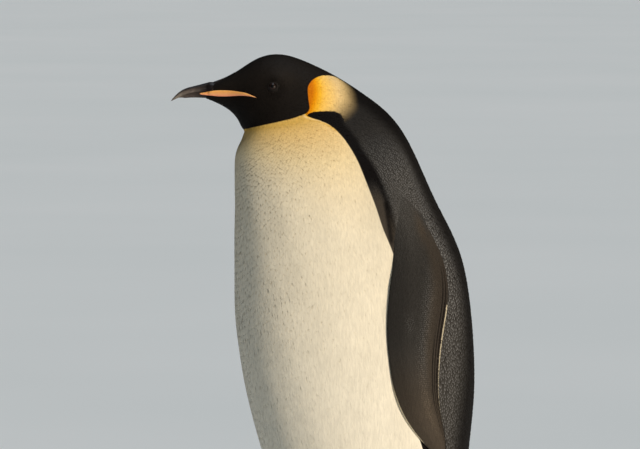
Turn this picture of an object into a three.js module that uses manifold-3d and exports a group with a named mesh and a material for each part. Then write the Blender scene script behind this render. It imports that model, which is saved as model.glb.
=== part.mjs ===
// A life-size standing emperor penguin, as a still museum model.
// Millimetres, +Z up, beak towards -Y, the bird's left side towards +X, soles and tail tip on z = 0.
//
// The trunk, neck and head are one loft. Each station of it is a flat section whose chord runs from the
// front of the bird (throat, breast, belly) to its rear (crown, nape, back), so the sections fan round the
// bend of the neck. Thin gaps part the loft into its named pieces.
import * as THREE from "three";
import { mergeVertices } from "three/addons/utils/BufferGeometryUtils.js";
import Module from "manifold-3d";

const wasm = await Module();
wasm.setup();

// ---------- driving dimensions ----------
const GAP = 0.35; // clearance between touching pieces
const HEAD_TURN = -15; // degrees that the head is turned to the bird's right
const TURN_AXIS_Y = -65; // the upright axis of that turn
const TURN_STATIONS = [6, 12]; // fully turned before the first, not turned after the second

// [front y, front z, rear y, rear z, half width] of each section, from the base of the bill to the rump
const STATIONS = [
  [-215, 939.5, -203, 961.5, 9.5],
  [-200, 933.5, -185.5, 968.5, 15],
  [-184, 925, -167, 979, 23],
  [-172.5, 915, -148.5, 991, 33],
  [-164.5, 904, -127.5, 1000, 42],
  [-159, 895.5, -102.5, 1001, 48.5],
  [-158, 889, -76.5, 993.5, 52],
  [-162, 880, -48.5, 981, 55],
  [-168.5, 868, -19, 965, 60],
  [-172.5, 851, 10.5, 945.5, 69],
  [-173, 828, 42, 921.5, 83],
  [-172.5, 797, 68.5, 889.5, 100],
  [-172, 757, 91, 844, 116],
  [-172.5, 710, 118, 786, 129.5],
  [-172, 661, 149, 721, 139.5],
  [-170, 614, 165, 650, 145],
  [-163, 567, 170.5, 578, 147],
  [-151.5, 507, 170.5, 507, 146],
  [-132, 437, 162.5, 437, 144],
  [-109.5, 370, 155.5, 370, 142],
  [-90, 308, 150, 308, 138],
  [-73, 250, 146, 250, 132.5],
  [-59.5, 198, 143, 199, 125],
  [-49, 152, 139, 154, 115],
];
const LAST = STATIONS.length - 1;
const AROUND = 32; // points round a section
const WIDEST = 0.52; // where a section is widest, as a share of its chord from the front
const FRONT_POWER = 2.1; // superellipse powers of the front and rear halves of a section
const REAR_POWER = 2.25;
const HEAD_END = 6.6; // station numbers where the loft is parted
const NECK_END = 10.4;
const STEPS = { head: 13, neck: 6, trunk: 19, underside: 5 };
const UNDERSIDE = {
  height: 152, // of the dome that rounds it off
  from: 17, // latitudes that the dome runs between
  to: 87,
  lean: 8, // how far it leans to the rear
  fullness: 0.78, // under 1 for a fuller shape than an ellipse
};

const BEAK = {
  tipY: -263.5, // the hooked tip of the upper bill
  lowerTipY: -253,
  baseY: -208, // inside the face
  // heights at even spacing from tip to base: of the ridge, the cutting edge, and the lower bill's underside
  culmen: [935.5, 945.6, 951.9, 955.2, 957.4, 959.9, 962.3],
  tomium: [934.6, 939.3, 943, 945.6, 947, 948, 948.6],
  gonys: [938, 939, 939.8, 940, 939.9, 939.6, 939.6],
  halfWidth: [0.8, 2.6, 4.1, 5.4, 6.6, 7.8, 8.8],
  mouthGap: 0.4,
  thinnest: 0.6,
  fullness: 0.8, // of a section's ridge: under 1 for a fuller shape than an ellipse
  edge: 0.12, // height of the blunt cutting edge, as a share of a section's height
  inset: 0.98, // width of the mouth's face, as a share of the section's width
  lowerWidth: [0.35, 0.95], // width of the lower bill at tip and base, as a share of the upper bill's
  crowding: 1.3, // how much closer the sections lie towards the tip
  steps: 10,
  arc: 5, // points over the ridge of a section, and as many across its flat side
};
const PLATE = {
  frontY: -210, // the coloured plate on the side of the lower bill, from the feather edge to the gape
  rearY: -142,
  middleZ: [946.8, 946.9, 947.3, 947.2, 945.7, 943],
  halfHeight: [3.1, 4.3, 4.4, 3.2, 1.8, 0.6],
  proud: 0.8,
  deep: 2.4,
  steps: 8,
  around: 8,
  squareness: 0.6, // power of a section's depth: under 1 for straighter sides
};
const EYE = { y: -118, z: 958, radius: 7.4, proud: 2.1, wide: 14, high: 8 };

const FLIPPER = {
  rootStation: 11.35, // loft stations that the shoulder and the tip lie beside
  tipStation: 18,
  // all along the centre line: its section angle, 90 being the bird's side, the blade's width and thickness,
  // how far it stands off the trunk, the degrees by which its trailing edge stands out, and how far its
  // leading edge bends in
  behind: [121, 118, 114.5, 111, 105, 102, 104.5, 118],
  width: [38, 51, 63, 91.5, 91, 76.5, 57, 18],
  thick: [36, 29, 21, 16, 12.5, 10, 8, 4],
  stand: [-26, -1, 7, 8.5, 9, 9.5, 9, 7],
  lift: [0, 0, 2, 4, 5, 5, 5, 4],
  bend: [0, 1, 6, 11, 13, 12, 9, 4],
  trailing: 0.45, // how thin the blade is at the trailing edge, as a share of its leading edge
  trailingBend: 0.5, // how far the trailing edge bends in, as a share of the leading edge
  steps: 17,
  around: 12,
};

const LEG = {
  x: 57,
  top: [40, 125], // y and z of its ends: inside the trunk, and in the ankle
  ankle: [34, 24],
  radius: [45, 29],
  depth: 1.15, // fore and aft, as a share of its width
  steps: 3,
  around: 14,
};
const FOOT = {
  x: 56,
  ballY: 24,
  splay: 10, // degrees outward
  toeSpread: 23, // degrees between neighbouring toes
  toeLength: [64, 77, 62], // inner, middle and outer toe, from the ball to the claw's root
  toeRadius: [12.5, 10],
  toeHeight: 9, // a toe's middle above the floor, less than its radius, so that the sole is flat
  bluntness: 0.7, // size of a toe's end, as a share of its full size
  instep: 9, // how much higher the toes are where they meet the leg
  pad: [26, 35, 22], // half sizes of the heel and ball
  padAt: [9, 16], // its middle behind the ball and above the floor
  padWide: 12,
  padHigh: 8,
  web: [2.2, 8.4], // heights of the web's underside and top
  webReach: 0.78, // how far the web follows each toe
  webScoop: 0.8, // how far it reaches midway between two toes
  steps: 4,
  around: 8,
};
const CLAW = {
  length: 27,
  seat: 8, // how far the claw is rooted in the toe
  radius: 5.4,
  rise: 2.8, // height of its arch
  drop: 7.6, // how far the point hangs below the root
  taper: 0.86,
  steps: 4,
  around: 7,
};
// the claw of the small inner toe
const SPUR = { at: [30, 4, 15], reach: [-15, -13, -9], radius: [4.2, 1.2], steps: 3, around: 6 };
const FLOOR = { reach: 500, deep: 80 }; // a block below the floor, which presses flats on what rests there
const TAIL = {
  y: [66, 100, 128, 151, 171, 190], // its middle line, from inside the trunk to the floor
  z: [232, 172, 118, 74, 35, -4],
  width: [110, 124, 118, 104, 86, 62],
  thick: [92, 78, 54, 33, 18, 8],
  steps: 7,
  around: 14,
};

// ---------- small helpers ----------
const degrees = THREE.MathUtils.degToRad;
const { lerp, smoothstep } = THREE.MathUtils;
const vector = (x, y, z) => new THREE.Vector3(x, y, z);

// Natural cubic spline through values at 0, 1, 2, ...; it runs on straight past its ends.
function spline(values) {
  const last = values.length - 1;
  const bend = new Array(last + 1).fill(0);
  const factor = new Array(last + 1).fill(0);
  for (let i = 1; i < last; i++) {
    const pivot = 4 - factor[i - 1];
    factor[i] = 1 / pivot;
    bend[i] = (6 * (values[i + 1] - 2 * values[i] + values[i - 1]) - bend[i - 1]) / pivot;
  }
  for (let i = last - 1; i > 0; i--) bend[i] -= factor[i] * bend[i + 1];
  return (t) => {
    const i = Math.min(Math.max(Math.floor(t), 0), last - 1);
    const f = Math.min(Math.max(t - i, 0), 1);
    const g = 1 - f;
    const straight = g * values[i] + f * values[i + 1] + (t - i - f) * (values[i + 1] - values[i]);
    return straight + ((g ** 3 - g) * bend[i] + (f ** 3 - f) * bend[i + 1]) / 6;
  };
}

// The same spline with its parameter run from 0 to 1.
function profile(values) {
  const curve = spline(values);
  return (share) => curve(share * (values.length - 1));
}

const signedPower = (value, power) => Math.sign(value) * Math.abs(value) ** power;
const range = (count, make) => Array.from({ length: count }, (_, i) => make(i));

// Turns a list of closed rings into a solid, with flat ends.
function solidFromRings(rings) {
  const around = rings[0].length;
  const points = rings.flat();
  const faces = [];
  for (let r = 0; r + 1 < rings.length; r++)
    for (let i = 0; i < around; i++) {
      const [a, b] = [r * around + i, r * around + ((i + 1) % around)];
      faces.push(a, b, a + around, b, b + around, a + around);
    }
  for (const [first, flip] of [[0, true], [(rings.length - 1) * around, false]]) {
    const middle = points.length;
    const centre = vector(0, 0, 0);
    for (let i = 0; i < around; i++) centre.addScaledVector(points[first + i], 1 / around);
    points.push(centre);
    for (let i = 0; i < around; i++) {
      const [a, b] = [first + i, first + ((i + 1) % around)];
      faces.push(...(flip ? [b, a, middle] : [a, b, middle]));
    }
  }
  return solidFromFaces(points, faces);
}

function solidFromFaces(points, faces) {
  const vertProperties = new Float32Array(points.flatMap((p) => [p.x, p.y, p.z]));
  const make = (triVerts) => new wasm.Manifold(new wasm.Mesh({ numProp: 3, vertProperties, triVerts }));
  const made = make(new Uint32Array(faces));
  return made.volume() > 0 ? made : make(new Uint32Array(faces).reverse());
}

function solidFromGeometry(geometry) {
  const plain = geometry.clone();
  for (const name of ["normal", "uv"]) plain.deleteAttribute(name);
  const merged = mergeVertices(plain, 1e-4);
  const points = range(merged.attributes.position.count, (i) =>
    vector(0, 0, 0).fromBufferAttribute(merged.attributes.position, i),
  );
  return solidFromFaces(points, Array.from(merged.index.array));
}

const box = (low, high) => {
  const size = high.clone().sub(low);
  const middle = low.clone().add(high).multiplyScalar(0.5);
  return solidFromGeometry(new THREE.BoxGeometry(...size.toArray()).translate(...middle.toArray()));
};
const ball = (centre, radius, wide, high) =>
  solidFromGeometry(new THREE.SphereGeometry(radius, wide, high).translate(...centre.toArray()));

// Rings of a tapered tube along a path: side and up say which way its width and height lie.
function tubeRings(path, widths, heights, side, around) {
  return path.map((centre, i) => {
    const ahead = path[Math.min(i + 1, path.length - 1)].clone().sub(path[Math.max(i - 1, 0)]).normalize();
    const up = side.clone().cross(ahead).normalize();
    return range(around, (k) => {
      const angle = (2 * Math.PI * k) / around;
      return centre
        .clone()
        .addScaledVector(side, (widths[i] / 2) * Math.cos(angle))
        .addScaledVector(up, (heights[i] / 2) * Math.sin(angle));
    });
  });
}

// ---------- the body loft ----------
const [frontY, frontZ, rearY, rearZ, halfWidth] = STATIONS[0].map((_, column) =>
  spline(STATIONS.map((row) => row[column])),
);

function headTurn(point, station) {
  const [full, none] = TURN_STATIONS;
  const share = 1 - smoothstep(station, full, none);
  const axis = vector(0, TURN_AXIS_Y, 0);
  return point.sub(axis).applyAxisAngle(vector(0, 0, 1), degrees(HEAD_TURN) * share).add(axis);
}

// A point of the body's surface. Angle 0 is the front of a section, 90 the bird's left side and 180 the rear.
function bodyPoint(station, angle, grow = 0) {
  const front = vector(0, frontY(station), frontZ(station));
  const rear = vector(0, rearY(station), rearZ(station));
  const chord = rear.clone().sub(front);
  const length = chord.length();
  chord.normalize();
  const across = Math.cos(angle);
  const power = 2 / (across > 0 ? FRONT_POWER : REAR_POWER);
  const reach = (across > 0 ? WIDEST : 1 - WIDEST) * length + grow;
  const along = WIDEST * length - reach * signedPower(across, power);
  const point = front.addScaledVector(chord, along);
  point.x = (halfWidth(station) + grow) * signedPower(Math.sin(angle), power);
  return headTurn(point, station);
}

function bodyNormal(station, angle) {
  const step = 0.02;
  const along = bodyPoint(station + step, angle).sub(bodyPoint(station - step, angle));
  const round = bodyPoint(station, angle + step).sub(bodyPoint(station, angle - step));
  return round.cross(along).normalize().negate();
}

// The station and angle of the point on the left side of the head that shows at (y, z) from the side.
function sideSeat(y, z, [low, high]) {
  const side = (station) => {
    const [fy, fz] = [frontY(station), frontZ(station)];
    return (rearY(station) - fy) * (z - fz) - (rearZ(station) - fz) * (y - fy);
  };
  const rising = side(high) > side(low);
  for (let i = 0; i < 40; i++) {
    const middle = (low + high) / 2;
    if (side(middle) > 0 === rising) high = middle;
    else low = middle;
  }
  const front = new THREE.Vector2(frontY(low), frontZ(low));
  const length = front.distanceTo(new THREE.Vector2(rearY(low), rearZ(low)));
  const along = front.distanceTo(new THREE.Vector2(y, z)) / length;
  const half = along < WIDEST ? WIDEST : 1 - WIDEST;
  const power = along < WIDEST ? FRONT_POWER : REAR_POWER;
  return [low, Math.acos(signedPower((WIDEST - along) / half, power / 2))];
}

function bodyRings(from, to, steps, grow = 0) {
  return range(steps + 1, (i) => {
    const station = from + ((to - from) * i) / steps;
    return range(AROUND, (k) => bodyPoint(station, (2 * Math.PI * k) / AROUND, grow));
  });
}

// Rings that round off the underside below the last station.
function undersideRings(grow = 0) {
  const [edge] = bodyRings(LAST, LAST, 1, grow);
  const middle = vector(0, 0, 0);
  edge.forEach((p) => middle.addScaledVector(p, 1 / edge.length));
  const start = degrees(UNDERSIDE.from);
  return range(STEPS.underside, (i) => {
    const angle = lerp(start, degrees(UNDERSIDE.to), (i + 1) / STEPS.underside);
    const sunk = Math.sin(angle) - Math.sin(start);
    const drop = vector(0, UNDERSIDE.lean * sunk, -(UNDERSIDE.height + grow) * sunk);
    const shrink = (Math.cos(angle) / Math.cos(start)) ** UNDERSIDE.fullness;
    return edge.map((p) => p.clone().sub(middle).multiplyScalar(shrink).add(middle).add(drop));
  });
}

// The share of a station that the gap between two lengths of the loft takes.
function stationGap(station) {
  const [here, next] = [station, station + 1].map((s) => bodyPoint(s, Math.PI / 2));
  return GAP / here.distanceTo(next);
}
const headLoft = (grow = 0) => solidFromRings(bodyRings(0, HEAD_END, STEPS.head, grow));
const neckLoft = () => solidFromRings(bodyRings(HEAD_END + stationGap(HEAD_END), NECK_END, STEPS.neck));
const trunkLoft = (grow = 0) =>
  solidFromRings([
    ...bodyRings(NECK_END + stationGap(NECK_END), LAST, STEPS.trunk, grow),
    ...undersideRings(grow),
  ]);

// ---------- bill ----------
// A ring of the bill between two heights: rounded over its ridge, flat on the mouth side.
function beakRing(y, ridgeZ, mouthZ, half) {
  const last = BEAK.arc - 1;
  const ridge = range(BEAK.arc, (i) => {
    const angle = (Math.PI * i) / last;
    const rise = Math.max(Math.sin(angle) ** BEAK.fullness, BEAK.edge);
    return vector(half * Math.cos(angle), y, mouthZ + (ridgeZ - mouthZ) * rise);
  });
  const mouth = range(BEAK.arc, (i) => vector(half * BEAK.inset * ((2 * i) / last - 1), y, mouthZ));
  return [...ridge, ...mouth].map((p) => headTurn(p, 0));
}

function bill() {
  const [culmen, tomium, gonys, half] = [BEAK.culmen, BEAK.tomium, BEAK.gonys, BEAK.halfWidth].map(profile);
  const rings = (tipY, ring) =>
    solidFromRings(
      range(BEAK.steps + 1, (i) => {
        const share = (i / BEAK.steps) ** BEAK.crowding;
        return ring(lerp(tipY, BEAK.baseY, share), share);
      }),
    );
  const upper = rings(BEAK.tipY, (y, share) => beakRing(y, culmen(share), tomium(share), half(share)));
  const lower = rings(BEAK.lowerTipY, (y, share) => {
    const upperShare = (y - BEAK.tipY) / (BEAK.baseY - BEAK.tipY);
    const mouth = tomium(upperShare) - BEAK.mouthGap;
    const narrow = half(upperShare) * lerp(...BEAK.lowerWidth, Math.sqrt(share));
    return beakRing(y, Math.min(gonys(share), mouth - BEAK.thinnest), mouth, narrow);
  });
  return { upper, lower };
}

// The left plate: rings along its length, each a flat oval let into the side of the face.
function plateLoft(grow = 0) {
  const [middleZ, halfHeight] = [PLATE.middleZ, PLATE.halfHeight].map(profile);
  const sunk = (PLATE.proud - PLATE.deep) / 2;
  const half = (PLATE.proud + PLATE.deep) / 2 + grow;
  return solidFromRings(
    range(PLATE.steps + 1, (i) => {
      const share = i / PLATE.steps;
      const y = lerp(PLATE.frontY - grow, PLATE.rearY + grow, share);
      const [station, angle] = sideSeat(y, middleZ(share), [0, HEAD_END]);
      const out = bodyNormal(station, angle);
      const up = vector(0, 0, 1).addScaledVector(out, -out.z).normalize();
      return range(PLATE.around, (k) => {
        const round = (2 * Math.PI * k) / PLATE.around;
        return bodyPoint(station, angle)
          .addScaledVector(up, (halfHeight(share) + grow) * Math.cos(round))
          .addScaledVector(out, sunk + half * signedPower(Math.sin(round), PLATE.squareness));
      });
    }),
  );
}

// ---------- flippers ----------
const bladeSizes = ["behind", "width", "thick", "stand", "lift", "bend"];
const blade = Object.fromEntries(bladeSizes.map((name) => [name, profile(FLIPPER[name])]));

// The centre line of the left flipper, standing off the trunk.
function bladeCentre(share) {
  const station = lerp(FLIPPER.rootStation, FLIPPER.tipStation, share);
  const angle = degrees(blade.behind(share));
  const normal = bodyNormal(station, angle);
  return { normal, point: bodyPoint(station, angle).addScaledVector(normal, blade.stand(share)) };
}

// One ring of the left flipper, from its leading edge over the outside to its trailing edge and back inside.
function bladeRing(share) {
  const { normal, point } = bladeCentre(share);
  const step = 0.01;
  const along = bladeCentre(share + step).point.sub(bladeCentre(share - step).point).normalize();
  const chord = normal.clone().cross(along).normalize();
  if (chord.y < 0) chord.negate();
  chord.applyAxisAngle(along, degrees(blade.lift(share)) * Math.sign(along.z));
  const out = chord.clone().cross(along).normalize();
  if (out.x < 0) out.negate();
  return range(FLIPPER.around, (k) => {
    const angle = (2 * Math.PI * k) / FLIPPER.around;
    const across = -Math.cos(angle);
    const round = across < 0 ? 1 : lerp(1, FLIPPER.trailing, across);
    const bend = across ** 2 * blade.bend(share) * (across < 0 ? 1 : FLIPPER.trailingBend);
    return point
      .clone()
      .addScaledVector(chord, (across * blade.width(share)) / 2)
      .addScaledVector(out, (Math.sin(angle) * round * blade.thick(share)) / 2 - bend);
  });
}

const flipperLoft = () => solidFromRings(range(FLIPPER.steps + 1, (i) => bladeRing(i / FLIPPER.steps)));

// ---------- legs, feet and tail ----------
function legLoft(grow = 0) {
  const shares = range(LEG.steps + 1, (i) => i / LEG.steps);
  const path = shares.map((share) =>
    vector(
      LEG.x,
      lerp(LEG.top[0], LEG.ankle[0], share),
      lerp(LEG.top[1], LEG.ankle[1] - grow, share),
    ),
  );
  const widths = shares.map((share) => 2 * (lerp(...LEG.radius, share) + grow));
  const depths = widths.map((width) => width * LEG.depth);
  return solidFromRings(tubeRings(path, widths, depths, vector(1, 0, 0), LEG.around));
}

const floorBlock = box(vector(-FLOOR.reach, -FLOOR.reach, -FLOOR.deep), vector(FLOOR.reach, FLOOR.reach, 0));
const ballOfFoot = vector(FOOT.x, FOOT.ballY, 0);

// Direction of a toe on the left foot: 0 inner, 1 middle, 2 outer.
function toeDirection(toe) {
  const angle = degrees(FOOT.splay + (toe - 1) * FOOT.toeSpread);
  return vector(Math.sin(angle), -Math.cos(angle), 0);
}

const toeSide = (toe) => toeDirection(toe).cross(vector(0, 0, -1)).normalize();
const alongToe = (toe, distance, height) =>
  ballOfFoot.clone().addScaledVector(toeDirection(toe), distance).setZ(height);

function toeSolid(toe) {
  const shares = range(FOOT.steps + 1, (i) => i / FOOT.steps);
  const path = shares.map((share) =>
    alongToe(toe, share * FOOT.toeLength[toe], FOOT.toeHeight + FOOT.instep * (1 - share) ** 2),
  );
  const blunt = (share) => (share === 1 ? FOOT.bluntness : 1);
  const sizes = shares.map((share) => 2 * lerp(...FOOT.toeRadius, share) * blunt(share));
  return solidFromRings(tubeRings(path, sizes, sizes, toeSide(toe), FOOT.around));
}

// The web between a toe and the next, with a hollow front edge.
function webSolid(toe) {
  const [near, far] = [toe, toe + 1].map((t) => alongToe(t, FOOT.toeLength[t] * FOOT.webReach, 0));
  const scoop = near.clone().add(far).multiplyScalar(0.5).lerp(ballOfFoot, 1 - FOOT.webScoop);
  const shape = new THREE.Shape();
  shape.moveTo(ballOfFoot.x, ballOfFoot.y);
  shape.lineTo(near.x, near.y);
  shape.quadraticCurveTo(scoop.x, scoop.y, far.x, far.y);
  const [under, top] = FOOT.web;
  const sheet = { depth: top - under, bevelEnabled: false, curveSegments: FOOT.steps };
  return solidFromGeometry(new THREE.ExtrudeGeometry(shape, sheet).translate(0, 0, under));
}

function footSolid() {
  const pad = new THREE.SphereGeometry(1, FOOT.padWide, FOOT.padHigh)
    .rotateX(Math.PI / 2)
    .scale(...FOOT.pad)
    .translate(FOOT.x, FOOT.ballY + FOOT.padAt[0], FOOT.padAt[1]);
  return [toeSolid(0), toeSolid(1), toeSolid(2), webSolid(0), webSolid(1)]
    .reduce((all, piece) => all.add(piece), solidFromGeometry(pad))
    .subtract(floorBlock);
}

// A claw arches forward from the end of its toe and down to just above the floor.
function claw(toe, grow = 0) {
  const shares = range(CLAW.steps + 1, (i) => i / CLAW.steps);
  const path = shares.map((share) =>
    alongToe(
      toe,
      FOOT.toeLength[toe] - CLAW.seat + (CLAW.length + CLAW.seat) * share,
      FOOT.toeHeight + CLAW.rise * Math.sin(share * Math.PI) - CLAW.drop * share ** 2,
    ),
  );
  const sizes = shares.map((share) => 2 * (CLAW.radius * (1 - CLAW.taper * share ** 1.5) + grow));
  return solidFromRings(tubeRings(path, sizes, sizes, toeSide(toe), CLAW.around));
}

// The claw of the small inner toe, on the side of the foot.
function spurClaw(grow = 0) {
  const shares = range(SPUR.steps + 1, (i) => i / SPUR.steps);
  const [root, reach] = [vector(...SPUR.at), vector(...SPUR.reach)];
  const path = shares.map((share) => root.clone().add(vector(share, share, share ** 2).multiply(reach)));
  const sizes = shares.map((share) => 2 * (lerp(...SPUR.radius, share) + grow));
  return solidFromRings(tubeRings(path, sizes, sizes, vector(0, 0, 1), SPUR.around));
}

function tailLoft() {
  const [y, z, width, thick] = [TAIL.y, TAIL.z, TAIL.width, TAIL.thick].map(profile);
  const shares = range(TAIL.steps + 1, (i) => i / TAIL.steps);
  const path = shares.map((share) => vector(0, y(share), z(share)));
  return solidFromRings(tubeRings(path, shares.map(width), shares.map(thick), vector(1, 0, 0), TAIL.around));
}

// ---------- assembly ----------
const material = (color, roughness) => new THREE.MeshStandardMaterial({ color, roughness, metalness: 0 });
const LOOKS = {
  head: material(0x1a1413, 0.75),
  neck: material(0xe2b65c, 0.8),
  trunk: material(0xe9dcbf, 0.8),
  back: material(0x3d3a37, 0.75),
  horn: material(0x2b2626, 0.35),
  plate: material(0xe89a5f, 0.4),
  eye: material(0x1c0f0a, 0.08),
  skin: material(0x201c1b, 0.7),
  claw: material(0x2a2524, 0.4),
};

const bird = new THREE.Group();

function addNode(name, solid, look) {
  const { vertProperties, triVerts, numProp, numVert } = solid.getMesh();
  const positions = new Float32Array(numVert * 3);
  for (let i = 0; i < numVert; i++) {
    positions.set(vertProperties.subarray(i * numProp, i * numProp + 3), i * 3);
  }
  const geometry = new THREE.BufferGeometry();
  geometry.setAttribute("position", new THREE.BufferAttribute(positions, 3));
  geometry.setIndex(new THREE.BufferAttribute(triVerts, 1));
  geometry.computeVertexNormals();
  const mesh = new THREE.Mesh(geometry, look);
  mesh.name = name;
  bird.add(mesh);
}

// Only the largest piece of a cut solid is kept, so no sliver is left beside it.
function largest(solid) {
  return solid.decompose().reduce((best, piece) => (piece.volume() > best.volume() ? piece : best));
}

const mirror = (solid) => solid.mirror([1, 0, 0]);
const SIDES = [["left", (solid) => solid, 1], ["right", mirror, -1]];

// The head is turned, so its pieces on the right aren't plain mirror copies of those on the left.
function mirrorInHead(solid) {
  const turned = (piece, angle) =>
    piece.translate([0, -TURN_AXIS_Y, 0]).rotate([0, 0, angle]).translate([0, TURN_AXIS_Y, 0]);
  return turned(mirror(turned(solid, -HEAD_TURN)), HEAD_TURN);
}

// head, with sockets for the eyes and seats for the coloured plates
const eyeSeat = sideSeat(EYE.y, EYE.z, [0, HEAD_END]);
const eyeCentre = bodyPoint(...eyeSeat).addScaledVector(bodyNormal(...eyeSeat), EYE.proud - EYE.radius);
let head = headLoft();
const faceFront = headLoft(GAP);
let { upper, lower } = bill();
[upper, lower] = [upper, lower].map((half) => half.subtract(faceFront));
for (const [side, , sign] of SIDES) {
  const place = sign > 0 ? (solid) => solid : mirrorInHead;
  const plateSeat = place(plateLoft(GAP));
  head = head.subtract(place(ball(eyeCentre, EYE.radius + GAP, EYE.wide, EYE.high))).subtract(plateSeat);
  [upper, lower] = [upper, lower].map((half) => half.subtract(plateSeat));
  addNode("eye_" + side, place(ball(eyeCentre, EYE.radius, EYE.wide, EYE.high)), LOOKS.eye);
  addNode("bill_plate_" + side, place(plateLoft()), LOOKS.plate);
}
addNode("head", largest(head), LOOKS.head);
addNode("bill_upper", largest(upper), LOOKS.horn);
addNode("bill_lower", largest(lower), LOOKS.horn);
addNode("neck", neckLoft(), LOOKS.neck);

const trunkGrown = trunkLoft(GAP);
addNode("trunk", trunkLoft(), LOOKS.trunk);
addNode("tail", largest(tailLoft().subtract(trunkGrown).subtract(floorBlock)), LOOKS.back);

const flipper = largest(flipperLoft().subtract(trunkGrown));
const leg = largest(legLoft().subtract(trunkGrown));
const claws = [claw(0), claw(1), claw(2), spurClaw()];
const clawSeats = [claw(0, GAP), claw(1, GAP), claw(2, GAP), spurClaw(GAP)];
const foot = largest([legLoft(GAP), ...clawSeats].reduce((solid, seat) => solid.subtract(seat), footSolid()));
for (const [side, place] of SIDES) {
  addNode("flipper_" + side, place(flipper), LOOKS.back);
  addNode("leg_" + side, place(leg), LOOKS.back);
  addNode("foot_" + side, place(foot), LOOKS.skin);
  claws.forEach((solid, toe) => addNode(`claw_${side}_${toe + 1}`, place(solid), LOOKS.claw));
}

// The origin is the middle of the bird's box on the floor.
const bounds = new THREE.Box3().setFromObject(bird);
const centre = bounds.getCenter(vector(0, 0, 0));
bird.position.set(-centre.x, -centre.y, -bounds.min.z);

export default bird;
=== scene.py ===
"""A life-size emperor penguin: skin, feathers, bill, eyes and feet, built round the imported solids.

Shapes are worked out in millimetres in the bird's own frame: beak towards -Y, its left towards +X, soles on
z = 0. place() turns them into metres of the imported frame. The surfaces that carry feathers are Sheets: u runs
the way the coat lies, and v goes once round, from 0 to 1.
"""
import math

import bpy
import numpy as np
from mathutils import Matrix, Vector
from mathutils.bvhtree import BVHTree
from mathutils.kdtree import KDTree


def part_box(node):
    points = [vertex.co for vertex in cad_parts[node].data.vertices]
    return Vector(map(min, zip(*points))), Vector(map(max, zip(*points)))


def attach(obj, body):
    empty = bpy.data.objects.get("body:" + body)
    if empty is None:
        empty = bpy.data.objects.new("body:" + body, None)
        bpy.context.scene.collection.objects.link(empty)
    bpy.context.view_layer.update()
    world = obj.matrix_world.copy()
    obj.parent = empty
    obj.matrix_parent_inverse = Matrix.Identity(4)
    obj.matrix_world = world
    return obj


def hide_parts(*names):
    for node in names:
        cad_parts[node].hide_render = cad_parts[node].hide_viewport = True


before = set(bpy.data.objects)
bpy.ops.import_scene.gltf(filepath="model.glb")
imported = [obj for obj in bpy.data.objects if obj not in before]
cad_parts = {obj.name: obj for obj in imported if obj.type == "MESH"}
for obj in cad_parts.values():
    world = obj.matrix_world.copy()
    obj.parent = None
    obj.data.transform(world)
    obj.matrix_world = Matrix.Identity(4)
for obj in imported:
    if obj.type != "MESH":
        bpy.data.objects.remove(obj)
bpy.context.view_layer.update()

MM = 0.001
SPARSE = 1.0

# ---------- driving dimensions, those of the solids ----------
HEAD_TURN = -15  # degrees that the head is turned to the bird's right
TURN_AXIS_Y = -65
TURN_STATIONS = (6, 12)  # fully turned before the first, not turned after the second

# [front y, front z, rear y, rear z, half width] of each section, from the base of the bill to the rump
STATIONS = np.array([
    [-215, 939.5, -203, 961.5, 9.5],
    [-200, 933.5, -185.5, 968.5, 15],
    [-184, 925, -167, 979, 23],
    [-172.5, 915, -148.5, 991, 33],
    [-164.5, 904, -127.5, 1000, 42],
    [-159, 895.5, -102.5, 1001, 48.5],
    [-158, 889, -76.5, 993.5, 52],
    [-162, 880, -48.5, 981, 55],
    [-168.5, 868, -19, 965, 60],
    [-172.5, 851, 10.5, 945.5, 69],
    [-173, 828, 42, 921.5, 83],
    [-172.5, 797, 68.5, 889.5, 100],
    [-172, 757, 91, 844, 116],
    [-172.5, 710, 118, 786, 129.5],
    [-172, 661, 149, 721, 139.5],
    [-170, 614, 165, 650, 145],
    [-163, 567, 170.5, 578, 147],
    [-151.5, 507, 170.5, 507, 146],
    [-132, 437, 162.5, 437, 144],
    [-109.5, 370, 155.5, 370, 142],
    [-90, 308, 150, 308, 138],
    [-73, 250, 146, 250, 132.5],
    [-59.5, 198, 143, 199, 125],
    [-49, 152, 139, 154, 115],
])
LAST = len(STATIONS) - 1
WIDEST = 0.52  # where a section is widest, as a share of its chord from the front
FRONT_POWER = 2.1
REAR_POWER = 2.25
HEAD_END = 6.6
NECK_END = 10.4
# the dome that rounds off the underside: its height, latitudes, lean to the rear, and fullness
DOME = {"height": 152, "latitudes": (17, 87), "lean": 8, "fullness": 0.78, "stations": 3.5}
BODY_END = LAST + DOME["stations"]

BEAK = {
    "tip_y": -263.5,
    "lower_tip_y": -253,
    "base_y": -208,
    "culmen": [935.5, 945.6, 951.9, 955.2, 957.4, 959.9, 962.3],
    "tomium": [934.6, 939.3, 943, 945.8, 947.6, 948.9, 949.6],
    "gonys": [938, 939, 939.8, 940, 939.9, 939.6, 939.6],
    "half_width": [0.8, 2.6, 4.1, 5.4, 6.6, 7.8, 8.8],
    "mouth_gap": 0.4,
    "lower_width": (0.35, 0.95),
}
PLATE = {
    # (y, height of its middle, half height) from its point on the lower bill back to the gape
    "run": [
        (-222.5, 945.9, 1.0),
        (-215, 946.2, 2.1),
        (-208.5, 946.5, 3.1),
        (-196, 946.7, 4.3),
        (-186, 946.8, 4.4),
        (-176.7, 947.0, 3.9),
        (-167, 946.9, 3.0),
        (-156.6, 946.2, 2.1),
        (-147.5, 944.1, 1.0),
        (-141.5, 942.3, 0.3),
    ],
    "proud": 0.8,
    "deep": 2.4,
    "squareness": 0.6,
}
EYE = {"y": -118, "z": 958, "radius": 7.4, "proud": 2.1}
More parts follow.
